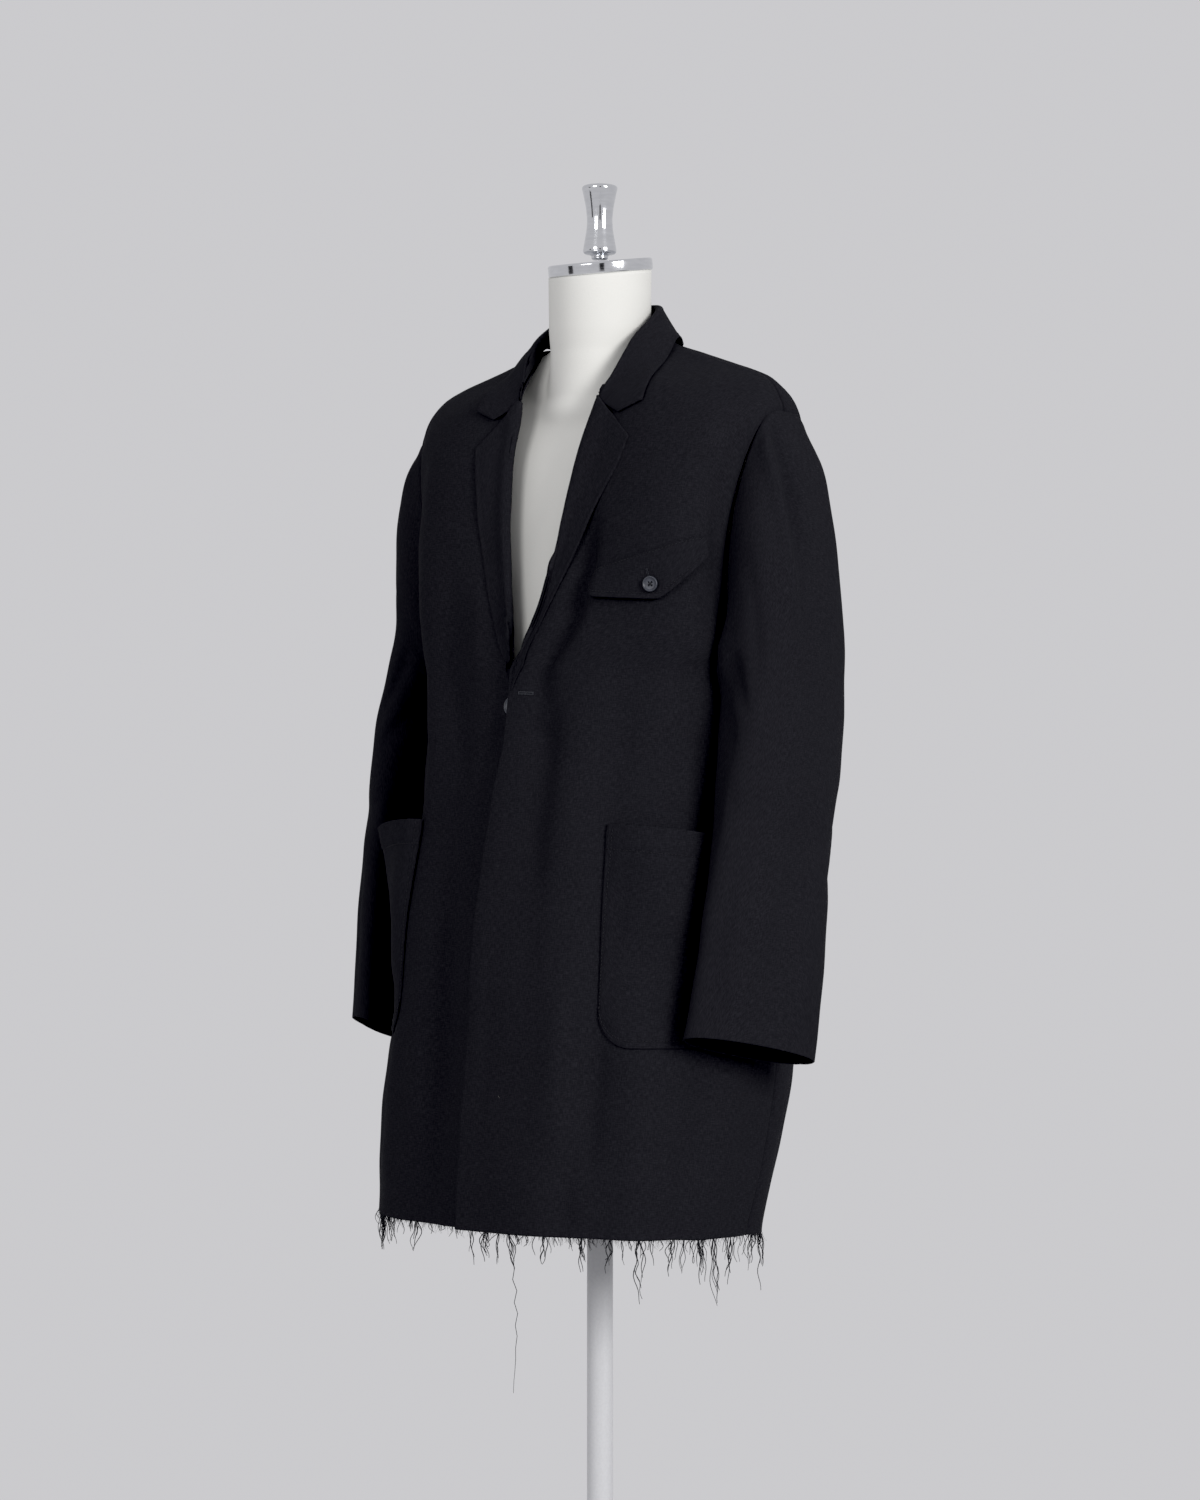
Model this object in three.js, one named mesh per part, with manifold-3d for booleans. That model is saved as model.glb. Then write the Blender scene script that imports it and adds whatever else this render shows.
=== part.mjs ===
// A long unlined work coat of black wool cloth with notched lapels, two large patch pockets, a slanted
// flap on the chest and a raw, fringed hem. It hangs, unbuttoned, on a limbless dress form with a metal
// neck cap and knob, on a pole and a round base. Millimetres, +Z up, the floor at Z = 0.
// +X is the wearer's left, -Y is the front, and the form's pole stands on the Z axis.
import * as THREE from 'three';
import { mergeVertices } from 'three/addons/utils/BufferGeometryUtils.js';
import Module from 'manifold-3d';

const wasm = await Module();
wasm.setup();

// Driving dimensions
const CLOTH = 2;            // thickness of the cloth wall
const SEAM = 0.35;          // gap between two pieces at a seam
const HEM_Z = 585;          // hem above the floor
const UNDERARM_Z = 1130;    // where the side seam meets the armhole, and where the lapels break
const UNDERARM_V = 0.62;    // share of a panel's length that lies below the underarm
const OVERLAP = 9;          // how far the left front stands off where it lies on the right one
const NECK = { x: 75, y: 10, z: 1456 };      // where the shoulder seam meets the neck
const BACK_NECK = { y: 64, z: 1462 };        // centre of the back neckline
// End of each shoulder seam, on the armhole: the right shoulder hangs a little lower
const TIP_LEFT = { x: 214, y: 8, z: 1378 };
const TIP_RIGHT = { x: 209, y: 10, z: 1373 };

const CLOTH_COLOUR = 0x1b1c21;
const cloth = new THREE.MeshStandardMaterial({ color: CLOTH_COLOUR, roughness: 0.95, metalness: 0 });
const horn = new THREE.MeshStandardMaterial({ color: 0x2a2b31, roughness: 0.4, metalness: 0 });
const linen = new THREE.MeshStandardMaterial({ color: 0xd8d7cf, roughness: 0.85, metalness: 0 });
const chrome = new THREE.MeshStandardMaterial({ color: 0xc9cbce, roughness: 0.12, metalness: 1 });

// Body of the coat, one row for each level: half width, front, side seam and back, and how square it is
const BODY = [
  { z: 585, half: 190, front: -206, seam: -24, back: 78, square: 3, backSquare: 2.4 },
  { z: 660, half: 198, front: -198, seam: -4, back: 108, square: 3, backSquare: 2.4 },
  { z: 760, half: 201, front: -184, seam: 16, back: 134, square: 2.9, backSquare: 2.4 },
  { z: 860, half: 195, front: -168, seam: 24, back: 146, square: 2.8, backSquare: 2.4 },
  { z: 960, half: 186, front: -151, seam: 24, back: 146, square: 2.8, backSquare: 2.4 },
  { z: 1050, half: 180, front: -132, seam: 18, back: 140, square: 2.8, backSquare: 2.35 },
  { z: 1130, half: 177, front: -118, seam: 14, back: 136, square: 2.8, backSquare: 2.3 },
];
// Free front edge below the break, as a distance past the centre front (left front lies on top)
const EDGE_LEFT = [
  { z: 585, past: 20 }, { z: 760, past: 23 }, { z: 900, past: 27 }, { z: 1000, past: 23 },
  { z: 1060, past: 18 }, { z: 1130, past: 20 },
];
const EDGE_RIGHT = [
  { z: 585, past: 26 }, { z: 960, past: 26 }, { z: 1030, past: 22 }, { z: 1085, past: 2 },
  { z: 1130, past: -19 },
];
// How far the hem is above or below its level: at the free edges, the side seams and the centre back
const HEM_LIFT = { edgeLeft: 8, edgeRight: 8, sideLeft: -2, sideRight: 10, back: -10 };

// Roll line of each lapel and the neck seam above it, from the break (0) to the shoulder seam (1)
const ROLL_LEFT = [
  { w: 0, x: -20, y: -118, z: 1130 },
  { w: 0.2, x: -7, y: -104, z: 1192 },
  { w: 0.45, x: 11, y: -94, z: 1269 },
  { w: 0.65, x: 28, y: -83, z: 1331 },
  { w: 0.8, x: 43, y: -72, z: 1376 },
  { w: 0.9, x: 55, y: -56, z: 1412 },
  { w: 1, x: NECK.x, y: NECK.y, z: NECK.z },
];
const ROLL_RIGHT = [
  { w: 0, x: 19, y: -116, z: 1130 },
  { w: 0.2, x: 25, y: -104, z: 1192 },
  { w: 0.45, x: 35, y: -94, z: 1269 },
  { w: 0.65, x: 41, y: -83, z: 1331 },
  { w: 0.8, x: 44, y: -72, z: 1376 },
  { w: 0.9, x: 53, y: -56, z: 1412 },
  { w: 1, x: NECK.x, y: NECK.y, z: NECK.z },
];
// Centre of the back above the underarm
const SPINE = [
  { w: 0, y: 136, z: 1130 },
  { w: 0.35, y: 134, z: 1250 },
  { w: 0.65, y: 120, z: 1350 },
  { w: 0.88, y: 88, z: 1430 },
  { w: 1, y: BACK_NECK.y, z: BACK_NECK.z },
];
// How far the chest and the shoulder blades stand out above the underarm, and how square the rows are
const CHEST = [
  { w: 0, front: 0, back: 0, square: 2.8, backSquare: 2.3 },
  { w: 0.35, front: 13, back: 4, square: 2.5, backSquare: 2.2 },
  { w: 0.7, front: 14, back: 3, square: 1.9, backSquare: 1.8 },
  { w: 1, front: 0, back: 0, square: 1.2, backSquare: 1.2 },
];
// Soft folds of the body: where on the panel, how wide, how deep, and from which height they grow downwards
const FOLDS_LEFT = [
  { u: 0.16, width: 0.09, depth: 4, from: 0.6, to: 0 },
  { u: 0.33, width: 0.07, depth: -5, from: 0.62, to: 0.05 },
  { u: 0.52, width: 0.08, depth: 5, from: 0.34, to: 0 },
  { u: 0.7, width: 0.07, depth: -7, from: 0.5, to: 0 },
  { u: 0.86, width: 0.07, depth: 6, from: 0.3, to: 0 },
  { u: 0.83, width: 0.08, depth: -6, from: 0.8, to: 0.45 },
];
const FOLDS_RIGHT = [
  { u: 0.2, width: 0.1, depth: -7, from: 0.62, to: 0 },
  { u: 0.44, width: 0.08, depth: 7, from: 0.7, to: 0.05 },
  { u: 0.62, width: 0.08, depth: -6, from: 0.5, to: 0.1 },
  { u: 0.84, width: 0.08, depth: 6, from: 0.3, to: 0 },
];
const FOLDS_BACK = [
  { u: -0.78, width: 0.09, depth: 7, from: 0.6, to: 0 },
  { u: -0.46, width: 0.1, depth: -6, from: 0.5, to: 0 },
  { u: -0.12, width: 0.1, depth: 5, from: 0.4, to: 0 },
  { u: 0.22, width: 0.09, depth: -6, from: 0.55, to: 0 },
  { u: 0.5, width: 0.1, depth: 6, from: 0.45, to: 0 },
  { u: 0.8, width: 0.08, depth: -6, from: 0.6, to: 0 },
];
// Sleeves: the outermost and innermost point of each section, its middle, half depth and skew
const SLEEVE_LEFT = [
  {
    j: 0, outX: 214, outZ: 1378, inX: 177, inZ: 1130, y: 11, depth: 58, skew: -3,
    turn: 0, bow: -12, edge: 0.55, drop: 0,
  },
  {
    j: 0.1, outX: 231, outZ: 1332, inX: 181, inZ: 1122, y: 10, depth: 70, skew: -2,
    turn: 0, bow: -5, edge: 0.6, drop: 0,
  },
  {
    j: 0.22, outX: 242, outZ: 1264, inX: 184, inZ: 1110, y: 10, depth: 77, skew: 0,
    turn: 0, bow: 0, edge: 0.72, drop: 0,
  },
  {
    j: 0.36, outX: 250, outZ: 1180, inX: 186, inZ: 1086, y: 12, depth: 81, skew: 0,
    turn: 1, bow: 0, edge: 0.85, drop: 0,
  },
  {
    j: 0.5, outX: 251, outZ: 1090, inX: 188, inZ: 1042, y: 4, depth: 84, skew: 0,
    turn: 3, bow: 0, edge: 0.92, drop: 0,
  },
  {
    j: 0.66, outX: 252, outZ: 985, inX: 192, inZ: 958, y: -22, depth: 79, skew: 0,
    turn: 11, bow: 0, edge: 0.95, drop: 2,
  },
  {
    j: 0.83, outX: 252, outZ: 876, inX: 199, inZ: 860, y: -52, depth: 73, skew: 0,
    turn: 20, bow: 0, edge: 0.95, drop: 6,
  },
  {
    j: 1, outX: 248, outZ: 772, inX: 201, inZ: 758, y: -75, depth: 69, skew: 0,
    turn: 28, bow: 0, edge: 0.95, drop: 14,
  },
];
// The right sleeve hangs a little further back and further out than the left one
const SLEEVE_RIGHT = SLEEVE_LEFT.map((row, i) => ({
  ...row,
  outX: row.outX + [0, -3, -3, 0, 4, 13, 19, 22][i],
  inX: row.inX + [0, 0, 0, 0, 4, 13, 19, 22][i],
  y: row.y + [0, 9, 17, 18, 12, 16, 25, 28][i],
}));
SLEEVE_RIGHT[0] = {
  ...SLEEVE_RIGHT[0],
  outX: TIP_RIGHT.x,
  outZ: TIP_RIGHT.z,
  y: TIP_RIGHT.y - SLEEVE_LEFT[0].skew,
};
// Places up the armhole where panels and sleeves share their points, and the two sleeve seams among them
const ARMHOLE = [0, 0.06, 0.14, 0.24, 0.36, 0.5, 0.64, 0.76, 0.86, 0.94, 1];
const SLEEVE_SEAM = { front: 0.24, back: 0.36 };

// Lapels: outer edge on the front panel, from the break to the tip at the notch
const LAPEL_LEFT = [
  { t: 0, x: -15, z: 1109 }, { t: 0.13, x: -3, z: 1138 }, { t: 0.27, x: 12, z: 1172 },
  { t: 0.43, x: 29, z: 1211 }, { t: 0.55, x: 42, z: 1239 }, { t: 0.73, x: 62, z: 1284 },
  { t: 0.89, x: 82, z: 1322 }, { t: 1, x: 93, z: 1353 },
];
const LAPEL_RIGHT = [
  { t: 0, x: 23, z: 1109 }, { t: 0.1, x: 30, z: 1126 }, { t: 0.27, x: 47, z: 1165 },
  { t: 0.46, x: 64, z: 1217 }, { t: 0.68, x: 76, z: 1271 }, { t: 0.84, x: 82, z: 1306 },
  { t: 1, x: 90, z: 1349 },
];
const LAPEL = { rollEnd: 0.81, thickness: 2.6, lift: 4 };
// Collar: fold and outer edge from the centre back (0) to the front end (1), and how far the leaf's
// front end dips to the notch
const COLLAR = [
  { t: 0, foldX: 0, foldY: 61, foldZ: 1498, edgeX: 0, edgeY: 89, edgeZ: 1455, dip: 0, round: 3.4 },
  { t: 0.3, foldX: 33, foldY: 51, foldZ: 1497, edgeX: 47, edgeY: 73, edgeZ: 1456, dip: 0, round: 3.4 },
  { t: 0.55, foldX: 55, foldY: 24, foldZ: 1489, edgeX: 75, edgeY: 36, edgeZ: 1457, dip: 0, round: 3.2 },
  { t: 0.7, foldX: 61, foldY: -2, foldZ: 1475, edgeX: 88, edgeY: 7, edgeZ: 1457, dip: 0, round: 2.8 },
  { t: 0.85, foldX: 60, foldY: -38, foldZ: 1446, edgeX: 95, edgeY: -30, edgeZ: 1424, dip: 0, round: 2.2 },
  { t: 1, foldX: 49, foldY: -71, foldZ: 1392, edgeX: 101, edgeY: -72, edgeZ: 1389, dip: 13, round: 1.7 },
];
const COLLAR_FRONT_LIFT = 1.6;
const COLLAR_NECK = 0.62;   // share of the collar that lies on the back neckline

// Patch pockets: distance of the front edge from the centre, height of the bottom and the mouth, how
// much lower the mouth is at the side, the bottom corner's radius, how far the mouth gapes and how
// quickly that falls off downwards, and how near the side seam the pocket ends
const POCKET_SHAPE = { bottom: 768, corner: 32, fall: 1.3, sideShare: 0.87 };
const POCKET_LEFT = { ...POCKET_SHAPE, edge: 103, mouth: 979, slope: 14, gape: 13 };
const POCKET_RIGHT = { ...POCKET_SHAPE, edge: 130, mouth: 981, slope: 26, gape: 40 };
// Chest flap, one row for each place along it: the stitched top edge and the loose lower edge
const FLAP = [
  { x: 59.5, top: 1223, bottom: 1209 },
  { x: 63, top: 1224, bottom: 1201 },
  { x: 70, top: 1226, bottom: 1197.5 },
  { x: 90, top: 1231, bottom: 1196.5 },
  { x: 115, top: 1237, bottom: 1195.5 },
  { x: 138, top: 1243.5, bottom: 1195 },
  { x: 152, top: 1248.5, bottom: 1206 },
  { x: 165, top: 1253, bottom: 1222 },
  { x: 174, top: 1255, bottom: 1237 },
];
const FLAP_LIFT = 2.5;       // how far the loose edge stands off
const FLAP_SEAM = 0.5;       // how much the stitched edge adds under the flap
const FLAP_BUTTON = { x: 131, z: 1209, radius: 7.5, thickness: 3 };
const FRONT_BUTTON = { x: 17, z: 1093, radius: 9.5, thickness: 3.2 };

// Fringe of the hem: strip height and thickness, how far inside the cloth's outer face it lies, and the
// threads' radius and lengths
const FRINGE = { strip: 3, thickness: 1.2, inset: 0.4, radius: 0.42, short: 7, medium: 26 };
// The longest threads: place along the piece's hem (0 to 1), length and sideways drift
const FRINGE_LEFT = [
  { at: 0.045, length: 32, drift: 3 }, { at: 0.105, length: 150, drift: 6 },
  { at: 0.21, length: 30, drift: -2 }, { at: 0.33, length: 34, drift: 2 },
  { at: 0.44, length: 38, drift: -3 }, { at: 0.56, length: 62, drift: 3 },
  { at: 0.7, length: 42, drift: -4 }, { at: 0.83, length: 50, drift: 3 },
  { at: 0.9, length: 66, drift: 5 }, { at: 0.96, length: 48, drift: -2 },
];
const FRINGE_RIGHT = [
  { at: 0.24, length: 30, drift: -3 }, { at: 0.5, length: 36, drift: 2 },
  { at: 0.78, length: 58, drift: -3 }, { at: 0.82, length: 44, drift: 4 },
  { at: 0.93, length: 40, drift: 2 },
];
const FRINGE_BACK = [
  { at: 0.06, length: 44, drift: 3 }, { at: 0.19, length: 36, drift: -3 },
  { at: 0.34, length: 52, drift: 4 }, { at: 0.52, length: 40, drift: -2 },
  { at: 0.66, length: 60, drift: 3 }, { at: 0.8, length: 38, drift: -3 },
  { at: 0.94, length: 56, drift: 3 },
];

// Dress form, one row for each level
const FORM = [
  { z: 752, half: 140, front: -112, back: 100, square: 2.3, neck: 1, tilt: 0 },
  { z: 850, half: 152, front: -116, back: 112, square: 2.3, neck: 1, tilt: 0 },
  { z: 950, half: 146, front: -104, back: 104, square: 2.2, neck: 1, tilt: 0 },
  { z: 1050, half: 138, front: -94, back: 92, square: 2.2, neck: 1, tilt: 0 },
  { z: 1130, half: 142, front: -92, back: 98, square: 2.2, neck: 1, tilt: 0 },
  { z: 1210, half: 146, front: -86, back: 106, square: 2.2, neck: 1, tilt: 0 },
  { z: 1290, half: 152, front: -76, back: 104, square: 2.2, neck: 1, tilt: 0 },
  { z: 1340, half: 166, front: -64, back: 88, square: 2.2, neck: 30, tilt: 0 },
  { z: 1380.5, half: 176, front: -44, back: 66, square: 2, neck: 56, tilt: 0 },
  { z: 1402.6, half: 174, front: -30, back: 52, square: 1.8, neck: 53, tilt: 0 },
  { z: 1417.8, half: 158, front: -24, back: 46, square: 1.6, neck: 52, tilt: 0 },
  { z: 1434.8, half: 115, front: -15, back: 44, square: 1.6, neck: 51.5, tilt: 0 },
  { z: 1445.8, half: 77, front: -13, back: 40, square: 1.6, neck: 51, tilt: 0 },
  { z: 1455, half: 54, front: -12, back: 30, square: 1.8, neck: 51, tilt: 0 },
  { z: 1474, half: 20, front: -20, back: 20, square: 2, neck: 51, tilt: 0 },
  { z: 1526, half: 20, front: -20, back: 20, square: 2, neck: 51.5, tilt: 0.15 },
];
const NECK_CAP = { radius: 52.5, height: 12, y: 1.5, tilt: 0.149 };
// Knob and its stem: radius and height above the stem's foot
const KNOB = [
  { r: 8.4, h: 0 }, { r: 8.4, h: 5 }, { r: 15.5, h: 5.8 }, { r: 17, h: 8.5 }, { r: 16, h: 14 },
  { r: 13.2, h: 30 }, { r: 12.6, h: 40 }, { r: 13.8, h: 52 }, { r: 17, h: 68 }, { r: 18, h: 71 },
  { r: 17, h: 74 },
];
const KNOB_TOP = 76;
const POLE_RADIUS = 13;
const BASE = { radius: 150, height: 12, edge: 2, collar: 22, collarHeight: 40 };

// Reads one column of a table at a place between its rows: a cubic through the rows with slopes
// taken from the rows on either side, and straight beyond the ends
function smooth(table, key, name, at) {
  const last = table.length - 1;
  const clamped = Math.min(Math.max(at, table[0][key]), table[last][key]);
  let i = 0;
  while (i < last - 1 && clamped > table[i + 1][key]) {
    i += 1;
  }
  const slope = (k) => {
    const a = table[Math.max(k - 1, 0)];
    const b = table[Math.min(k + 1, last)];
    return (b[name] - a[name]) / (b[key] - a[key]);
  };
  const span = table[i + 1][key] - table[i][key];
  const t = (clamped - table[i][key]) / span;
  const t2 = t * t;
  const t3 = t2 * t;
  return (2 * t3 - 3 * t2 + 1) * table[i][name] + (t3 - 2 * t2 + t) * span * slope(i)
    + (3 * t2 - 2 * t3) * table[i + 1][name] + (t3 - t2) * span * slope(i + 1);
}

const mix = (a, b, t) => a + (b - a) * t;
const signedPower = (value, power) => Math.sign(value) * Math.abs(value) ** power;

// A point of a sleeve's section j at an angle: 0 is outermost, a quarter turn is the back
function sleevePoint(side, angle, j) {
  const table = side > 0 ? SLEEVE_LEFT : SLEEVE_RIGHT;
  const c = (name) => smooth(table, 'j', name, j);
  const s = Math.cos(angle);
  const k = (s + 1) / 2;
  const back = signedPower(Math.sin(angle), c('edge'));
  const dx = (c('outX') - c('inX')) * (k - 0.5) + c('bow') * (1 - s * s);
  const dy = c('skew') * s + c('depth') * back;
  const turn = THREE.MathUtils.degToRad(c('turn'));
  const x = (c('outX') + c('inX')) / 2 + dx * Math.cos(turn) + dy * Math.sin(turn);
  const y = c('y') - dx * Math.sin(turn) + dy * Math.cos(turn);
  const z = mix(c('inZ'), c('outZ'), k) - c('drop') * back;
  return new THREE.Vector3(side * x, y, z);
}

// The armhole from the underarm (0) to the end of the shoulder seam (1), round the front or the back
const armhole = (side, half, w) => sleevePoint(side, half * Math.PI * (1 - w), 0);

// The shoulder seam from the neck (0) to its end (1): straight, then rounding over the shoulder's end
const tip = (side) => (side > 0 ? TIP_LEFT : TIP_RIGHT);
function shoulderSeam(side, u) {
  const { x, y, z } = tip(side);
  const drop = 0.6 * u + 0.4 * u ** 14;
  return new THREE.Vector3(side * mix(NECK.x, x, u), mix(NECK.y, y, u), mix(NECK.z, z, drop));
}

// A row of a panel between two points, as a quarter of a superellipse seen from above
function quarter(from, to, square, u) {
  const angle = (Math.PI / 2) * u;
  const across = Math.sin(angle) ** (2 / square);
  const along = 1 - Math.max(Math.cos(angle), 0) ** (2 / square);
  return [mix(from.x, to.x, across), mix(from.y, to.y, along), mix(from.z, to.z, u)];
}

const dome = (t) => Math.sin(Math.PI * Math.min(Math.max(t, 0), 1));

// Depth of the soft folds at a place on a panel: a bell across, growing down the panel
function foldDepth(folds, u, v) {
  let depth = 0;
  for (const fold of folds) {
    const bell = Math.exp(-(((u - fold.u) / fold.width) ** 2));
    const run = Math.min(Math.max((fold.from - v) / (fold.from - fold.to), 0), 1);
    const grow = fold.to > 0 ? dome(run) : run;
    depth += fold.depth * bell * grow;
  }
  return depth;
}

// A point of a front: u from the free edge (0) to the side seam and armhole (1), v from hem to shoulder
function frontPoint(side, u, v) {
  const left = side > 0;
  let point;
  if (v <= UNDERARM_V) {
    const edgeLift = left ? HEM_LIFT.edgeLeft : HEM_LIFT.edgeRight;
    const sideLift = left ? HEM_LIFT.sideLeft : HEM_LIFT.sideRight;
    const z = mix(HEM_Z + mix(edgeLift, sideLift, u * u), UNDERARM_Z, v / UNDERARM_V);
    const past = smooth(left ? EDGE_LEFT : EDGE_RIGHT, 'z', 'past', z);
    const from = { x: -past, y: smooth(BODY, 'z', 'front', z), z };
    const to = { x: smooth(BODY, 'z', 'half', z), y: smooth(BODY, 'z', 'seam', z), z };
    point = quarter(from, to, smooth(BODY, 'z', 'square', z), u);
  } else {
    const w = (v - UNDERARM_V) / (1 - UNDERARM_V);
    const roll = (name) => smooth(left ? ROLL_LEFT : ROLL_RIGHT, 'w', name, w);
    const from = { x: roll('x'), y: roll('y'), z: roll('z') };
    const to = armhole(side, -1, w);
    to.x *= side;
    point = quarter(from, to, smooth(CHEST, 'w', 'square', w), u);
    point[1] -= smooth(CHEST, 'w', 'front', w) * dome(u);
    const plain = quarter(NECK, tip(side), smooth(CHEST, 'w', 'square', 1), u);
    const seam = shoulderSeam(side, u);
    const pull = w ** 4;
    point[0] += (side * seam.x - plain[0]) * pull;
    point[1] += (seam.y - plain[1]) * pull;
    point[2] += (seam.z - plain[2]) * pull;
  }
  // The folds stand out to the front at the free edge, and more and more to the side further round
  const fold = foldDepth(left ? FOLDS_LEFT : FOLDS_RIGHT, u, v);
  const round = (Math.PI / 2) * u * 0.6;
  point[1] -= fold * Math.cos(round);
  point[0] += fold * Math.sin(round) * (1 - u);
  if (left) {
    // The left front lies on the right one, so it stands out near its free edge
    const lap = Math.max(1 - u / 0.42, 0);
    point[1] -= OVERLAP * lap * lap * (3 - 2 * lap) * (1 - THREE.MathUtils.smoothstep(v, 0.66, 0.8));
  }
  return new THREE.Vector3(side * point[0], point[1], point[2]);
}

// A point of the back: u from the right side seam (-1) to the left one (1), v from hem to neckline
function backPoint(u, v) {
  const side = u < 0 ? -1 : 1;
  const across = Math.abs(u);
  let point;
  if (v <= UNDERARM_V) {
    const lift = mix(HEM_LIFT.back, side > 0 ? HEM_LIFT.sideLeft : HEM_LIFT.sideRight, across ** 2);
    const z = mix(HEM_Z + lift, UNDERARM_Z, v / UNDERARM_V);
    const from = { x: 0, y: smooth(BODY, 'z', 'back', z), z };
    const to = { x: smooth(BODY, 'z', 'half', z), y: smooth(BODY, 'z', 'seam', z), z };
    point = quarter(from, to, smooth(BODY, 'z', 'backSquare', z), across);
  } else {
    const w = (v - UNDERARM_V) / (1 - UNDERARM_V);
    const from = { x: 0, y: smooth(SPINE, 'w', 'y', w), z: smooth(SPINE, 'w', 'z', w) };
    const square = smooth(CHEST, 'w', 'backSquare', w);
    const to = armhole(side, 1, w);
    to.x *= side;
    point = quarter(from, to, square, across);
    point[1] += smooth(CHEST, 'w', 'back', w) * dome(across);
    const plain = quarter({ x: 0, ...BACK_NECK }, tip(side), smooth(CHEST, 'w', 'backSquare', 1), across);
    const top = backTop(side, across);
    const pull = w ** 4;
    point = point.map((value, i) => value + (top[i] - plain[i]) * pull);
  }
  point[1] += foldDepth(FOLDS_BACK, u, v) * (1 - across ** 4);
  return new THREE.Vector3(side * point[0], point[1], point[2]);
}

// The back's top edge: the neckline up to the shoulder seam's start, then that seam
const NECK_SHARE = 0.4;
function backTop(side, across) {
  if (across > NECK_SHARE) {
    const seam = shoulderSeam(side, (across - NECK_SHARE) / (1 - NECK_SHARE));
    return [side * seam.x, seam.y, seam.z];
  }
  const angle = (Math.PI / 2) * (across / NECK_SHARE);
  return [
    NECK.x * Math.sin(angle),
    mix(NECK.y, BACK_NECK.y, Math.cos(angle)),
    mix(BACK_NECK.z, NECK.z, across / NECK_SHARE),
  ];
}

// The place on a front panel at a given height and distance to that side of the centre
function placeOnFront(side, x, z) {
  let u = 0.3;
  let v = (UNDERARM_V * (z - HEM_Z)) / (UNDERARM_Z - HEM_Z);
  for (let round = 0; round < 14; round += 1) {
    let low = 0.003;
    let high = 0.99;
    for (let half = 0; half < 22; half += 1) {
      u = (low + high) / 2;
      if (side * frontPoint(side, u, v).x < x) {
        low = u;
      } else {
        high = u;
      }
    }
    const slope = (frontPoint(side, u, Math.min(v + 0.01, 1)).z - frontPoint(side, u, v - 0.01).z) / 0.02;
    v = Math.min(Math.max(v + (0.9 * (z - frontPoint(side, u, v).z)) / slope, 0.012), 0.99);
  }
  return [u, v];
}

// Outward direction of a front panel at a place
function frontNormal(side, u, v) {
  const h = 0.004;
  const du = frontPoint(side, Math.min(u + h, 1), v).sub(frontPoint(side, Math.max(u - h, 0), v));
  const dv = frontPoint(side, u, Math.min(v + h, 1)).sub(frontPoint(side, u, Math.max(v - h, 0)));
  return du.cross(dv).multiplyScalar(side).normalize();
}

// Even shares from 0 to 1, and a grid of points at given shares across (columns) and along (rows)
const even = (count) => Array.from({ length: count + 1 }, (_, i) => i / count);
const grid = (across, along, point) => along.map((j) => across.map((i) => point(i, j)));

// Outward direction of a surface from two short steps on it
function surfaceNormal(point, flip, i, j) {
  const h = 0.002;
  const du = point(Math.min(i + h, 1), j).sub(point(Math.max(i - h, 0), j));
  const dv = point(i, Math.min(j + h, 1)).sub(point(i, Math.max(j - h, 0)));
  return du.cross(dv).multiplyScalar(flip).normalize();
}

// Closes an outer and an inner grid into one wall
function shell(outer, inner, flip) {
  const rows = outer.length;
  const columns = outer[0].length;
  const positions = [outer, inner].flat(2).flatMap((p) => [p.x, p.y, p.z]);
  const id = (layer, j, i) => layer * rows * columns + j * columns + i;
  const triangles = [];
  const quad = (a, b, c, d) => {
    if (flip > 0) {
      triangles.push(a, b, c, a, c, d);
    } else {
      triangles.push(a, c, b, a, d, c);
    }
  };
  for (let j = 0; j < rows - 1; j += 1) {
    for (let i = 0; i < columns - 1; i += 1) {
      quad(id(0, j, i), id(0, j, i + 1), id(0, j + 1, i + 1), id(0, j + 1, i));
      quad(id(1, j, i), id(1, j + 1, i), id(1, j + 1, i + 1), id(1, j, i + 1));
    }
  }
  for (let i = 0; i < columns - 1; i += 1) {
    quad(id(0, 0, i), id(1, 0, i), id(1, 0, i + 1), id(0, 0, i + 1));
    quad(id(0, rows - 1, i), id(0, rows - 1, i + 1), id(1, rows - 1, i + 1), id(1, rows - 1, i));
  }
  for (let j = 0; j < rows - 1; j += 1) {
    quad(id(0, j, 0), id(0, j + 1, 0), id(1, j + 1, 0), id(1, j, 0));
    quad(id(0, j, columns - 1), id(1, j, columns - 1), id(1, j + 1, columns - 1), id(0, j + 1, columns - 1));
  }
  const geometry = new THREE.BufferGeometry();
  geometry.setAttribute('position', new THREE.Float32BufferAttribute(positions, 3));
  geometry.setIndex(triangles);
  return geometry;
}

// A cloth wall whose outer face is the surface. At a seam the wall's end face takes the direction
// that a mitre function gives, so that two pieces meet without cutting into each other
function wall(point, flip, across, along, mitre = () => null) {
  const outer = grid(across, along, point);
  const inner = grid(across, along, (i, j) => {
    const normal = mitre(i, j) ?? surfaceNormal(point, flip, i, j);
    return point(i, j).addScaledVector(normal, -CLOTH);
  });
  return shell(outer, inner, flip);
}

const coat = new THREE.Group();
function add(name, geometry, material) {
  const mesh = new THREE.Mesh(geometry, material);
  mesh.name = name;
  coat.add(mesh);
  return mesh;
}

// Directions of the end faces at the armhole, the shoulder seam and the side seam
function armholeMitre(side, angle) {
  const ring = sleevePoint(side, angle, 0);
  const top = sleevePoint(side, 0, 0);
  const bottom = sleevePoint(side, Math.PI, 0);
  return ring.sub(top.add(bottom).multiplyScalar(0.5)).normalize();
}

function shoulderMitre(side, u) {
  const along = shoulderSeam(side, Math.min(u + 0.01, 1)).sub(shoulderSeam(side, Math.max(u - 0.01, 0)));
  return new THREE.Vector3(-along.z * side, 0, along.x * side).normalize();
}

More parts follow.
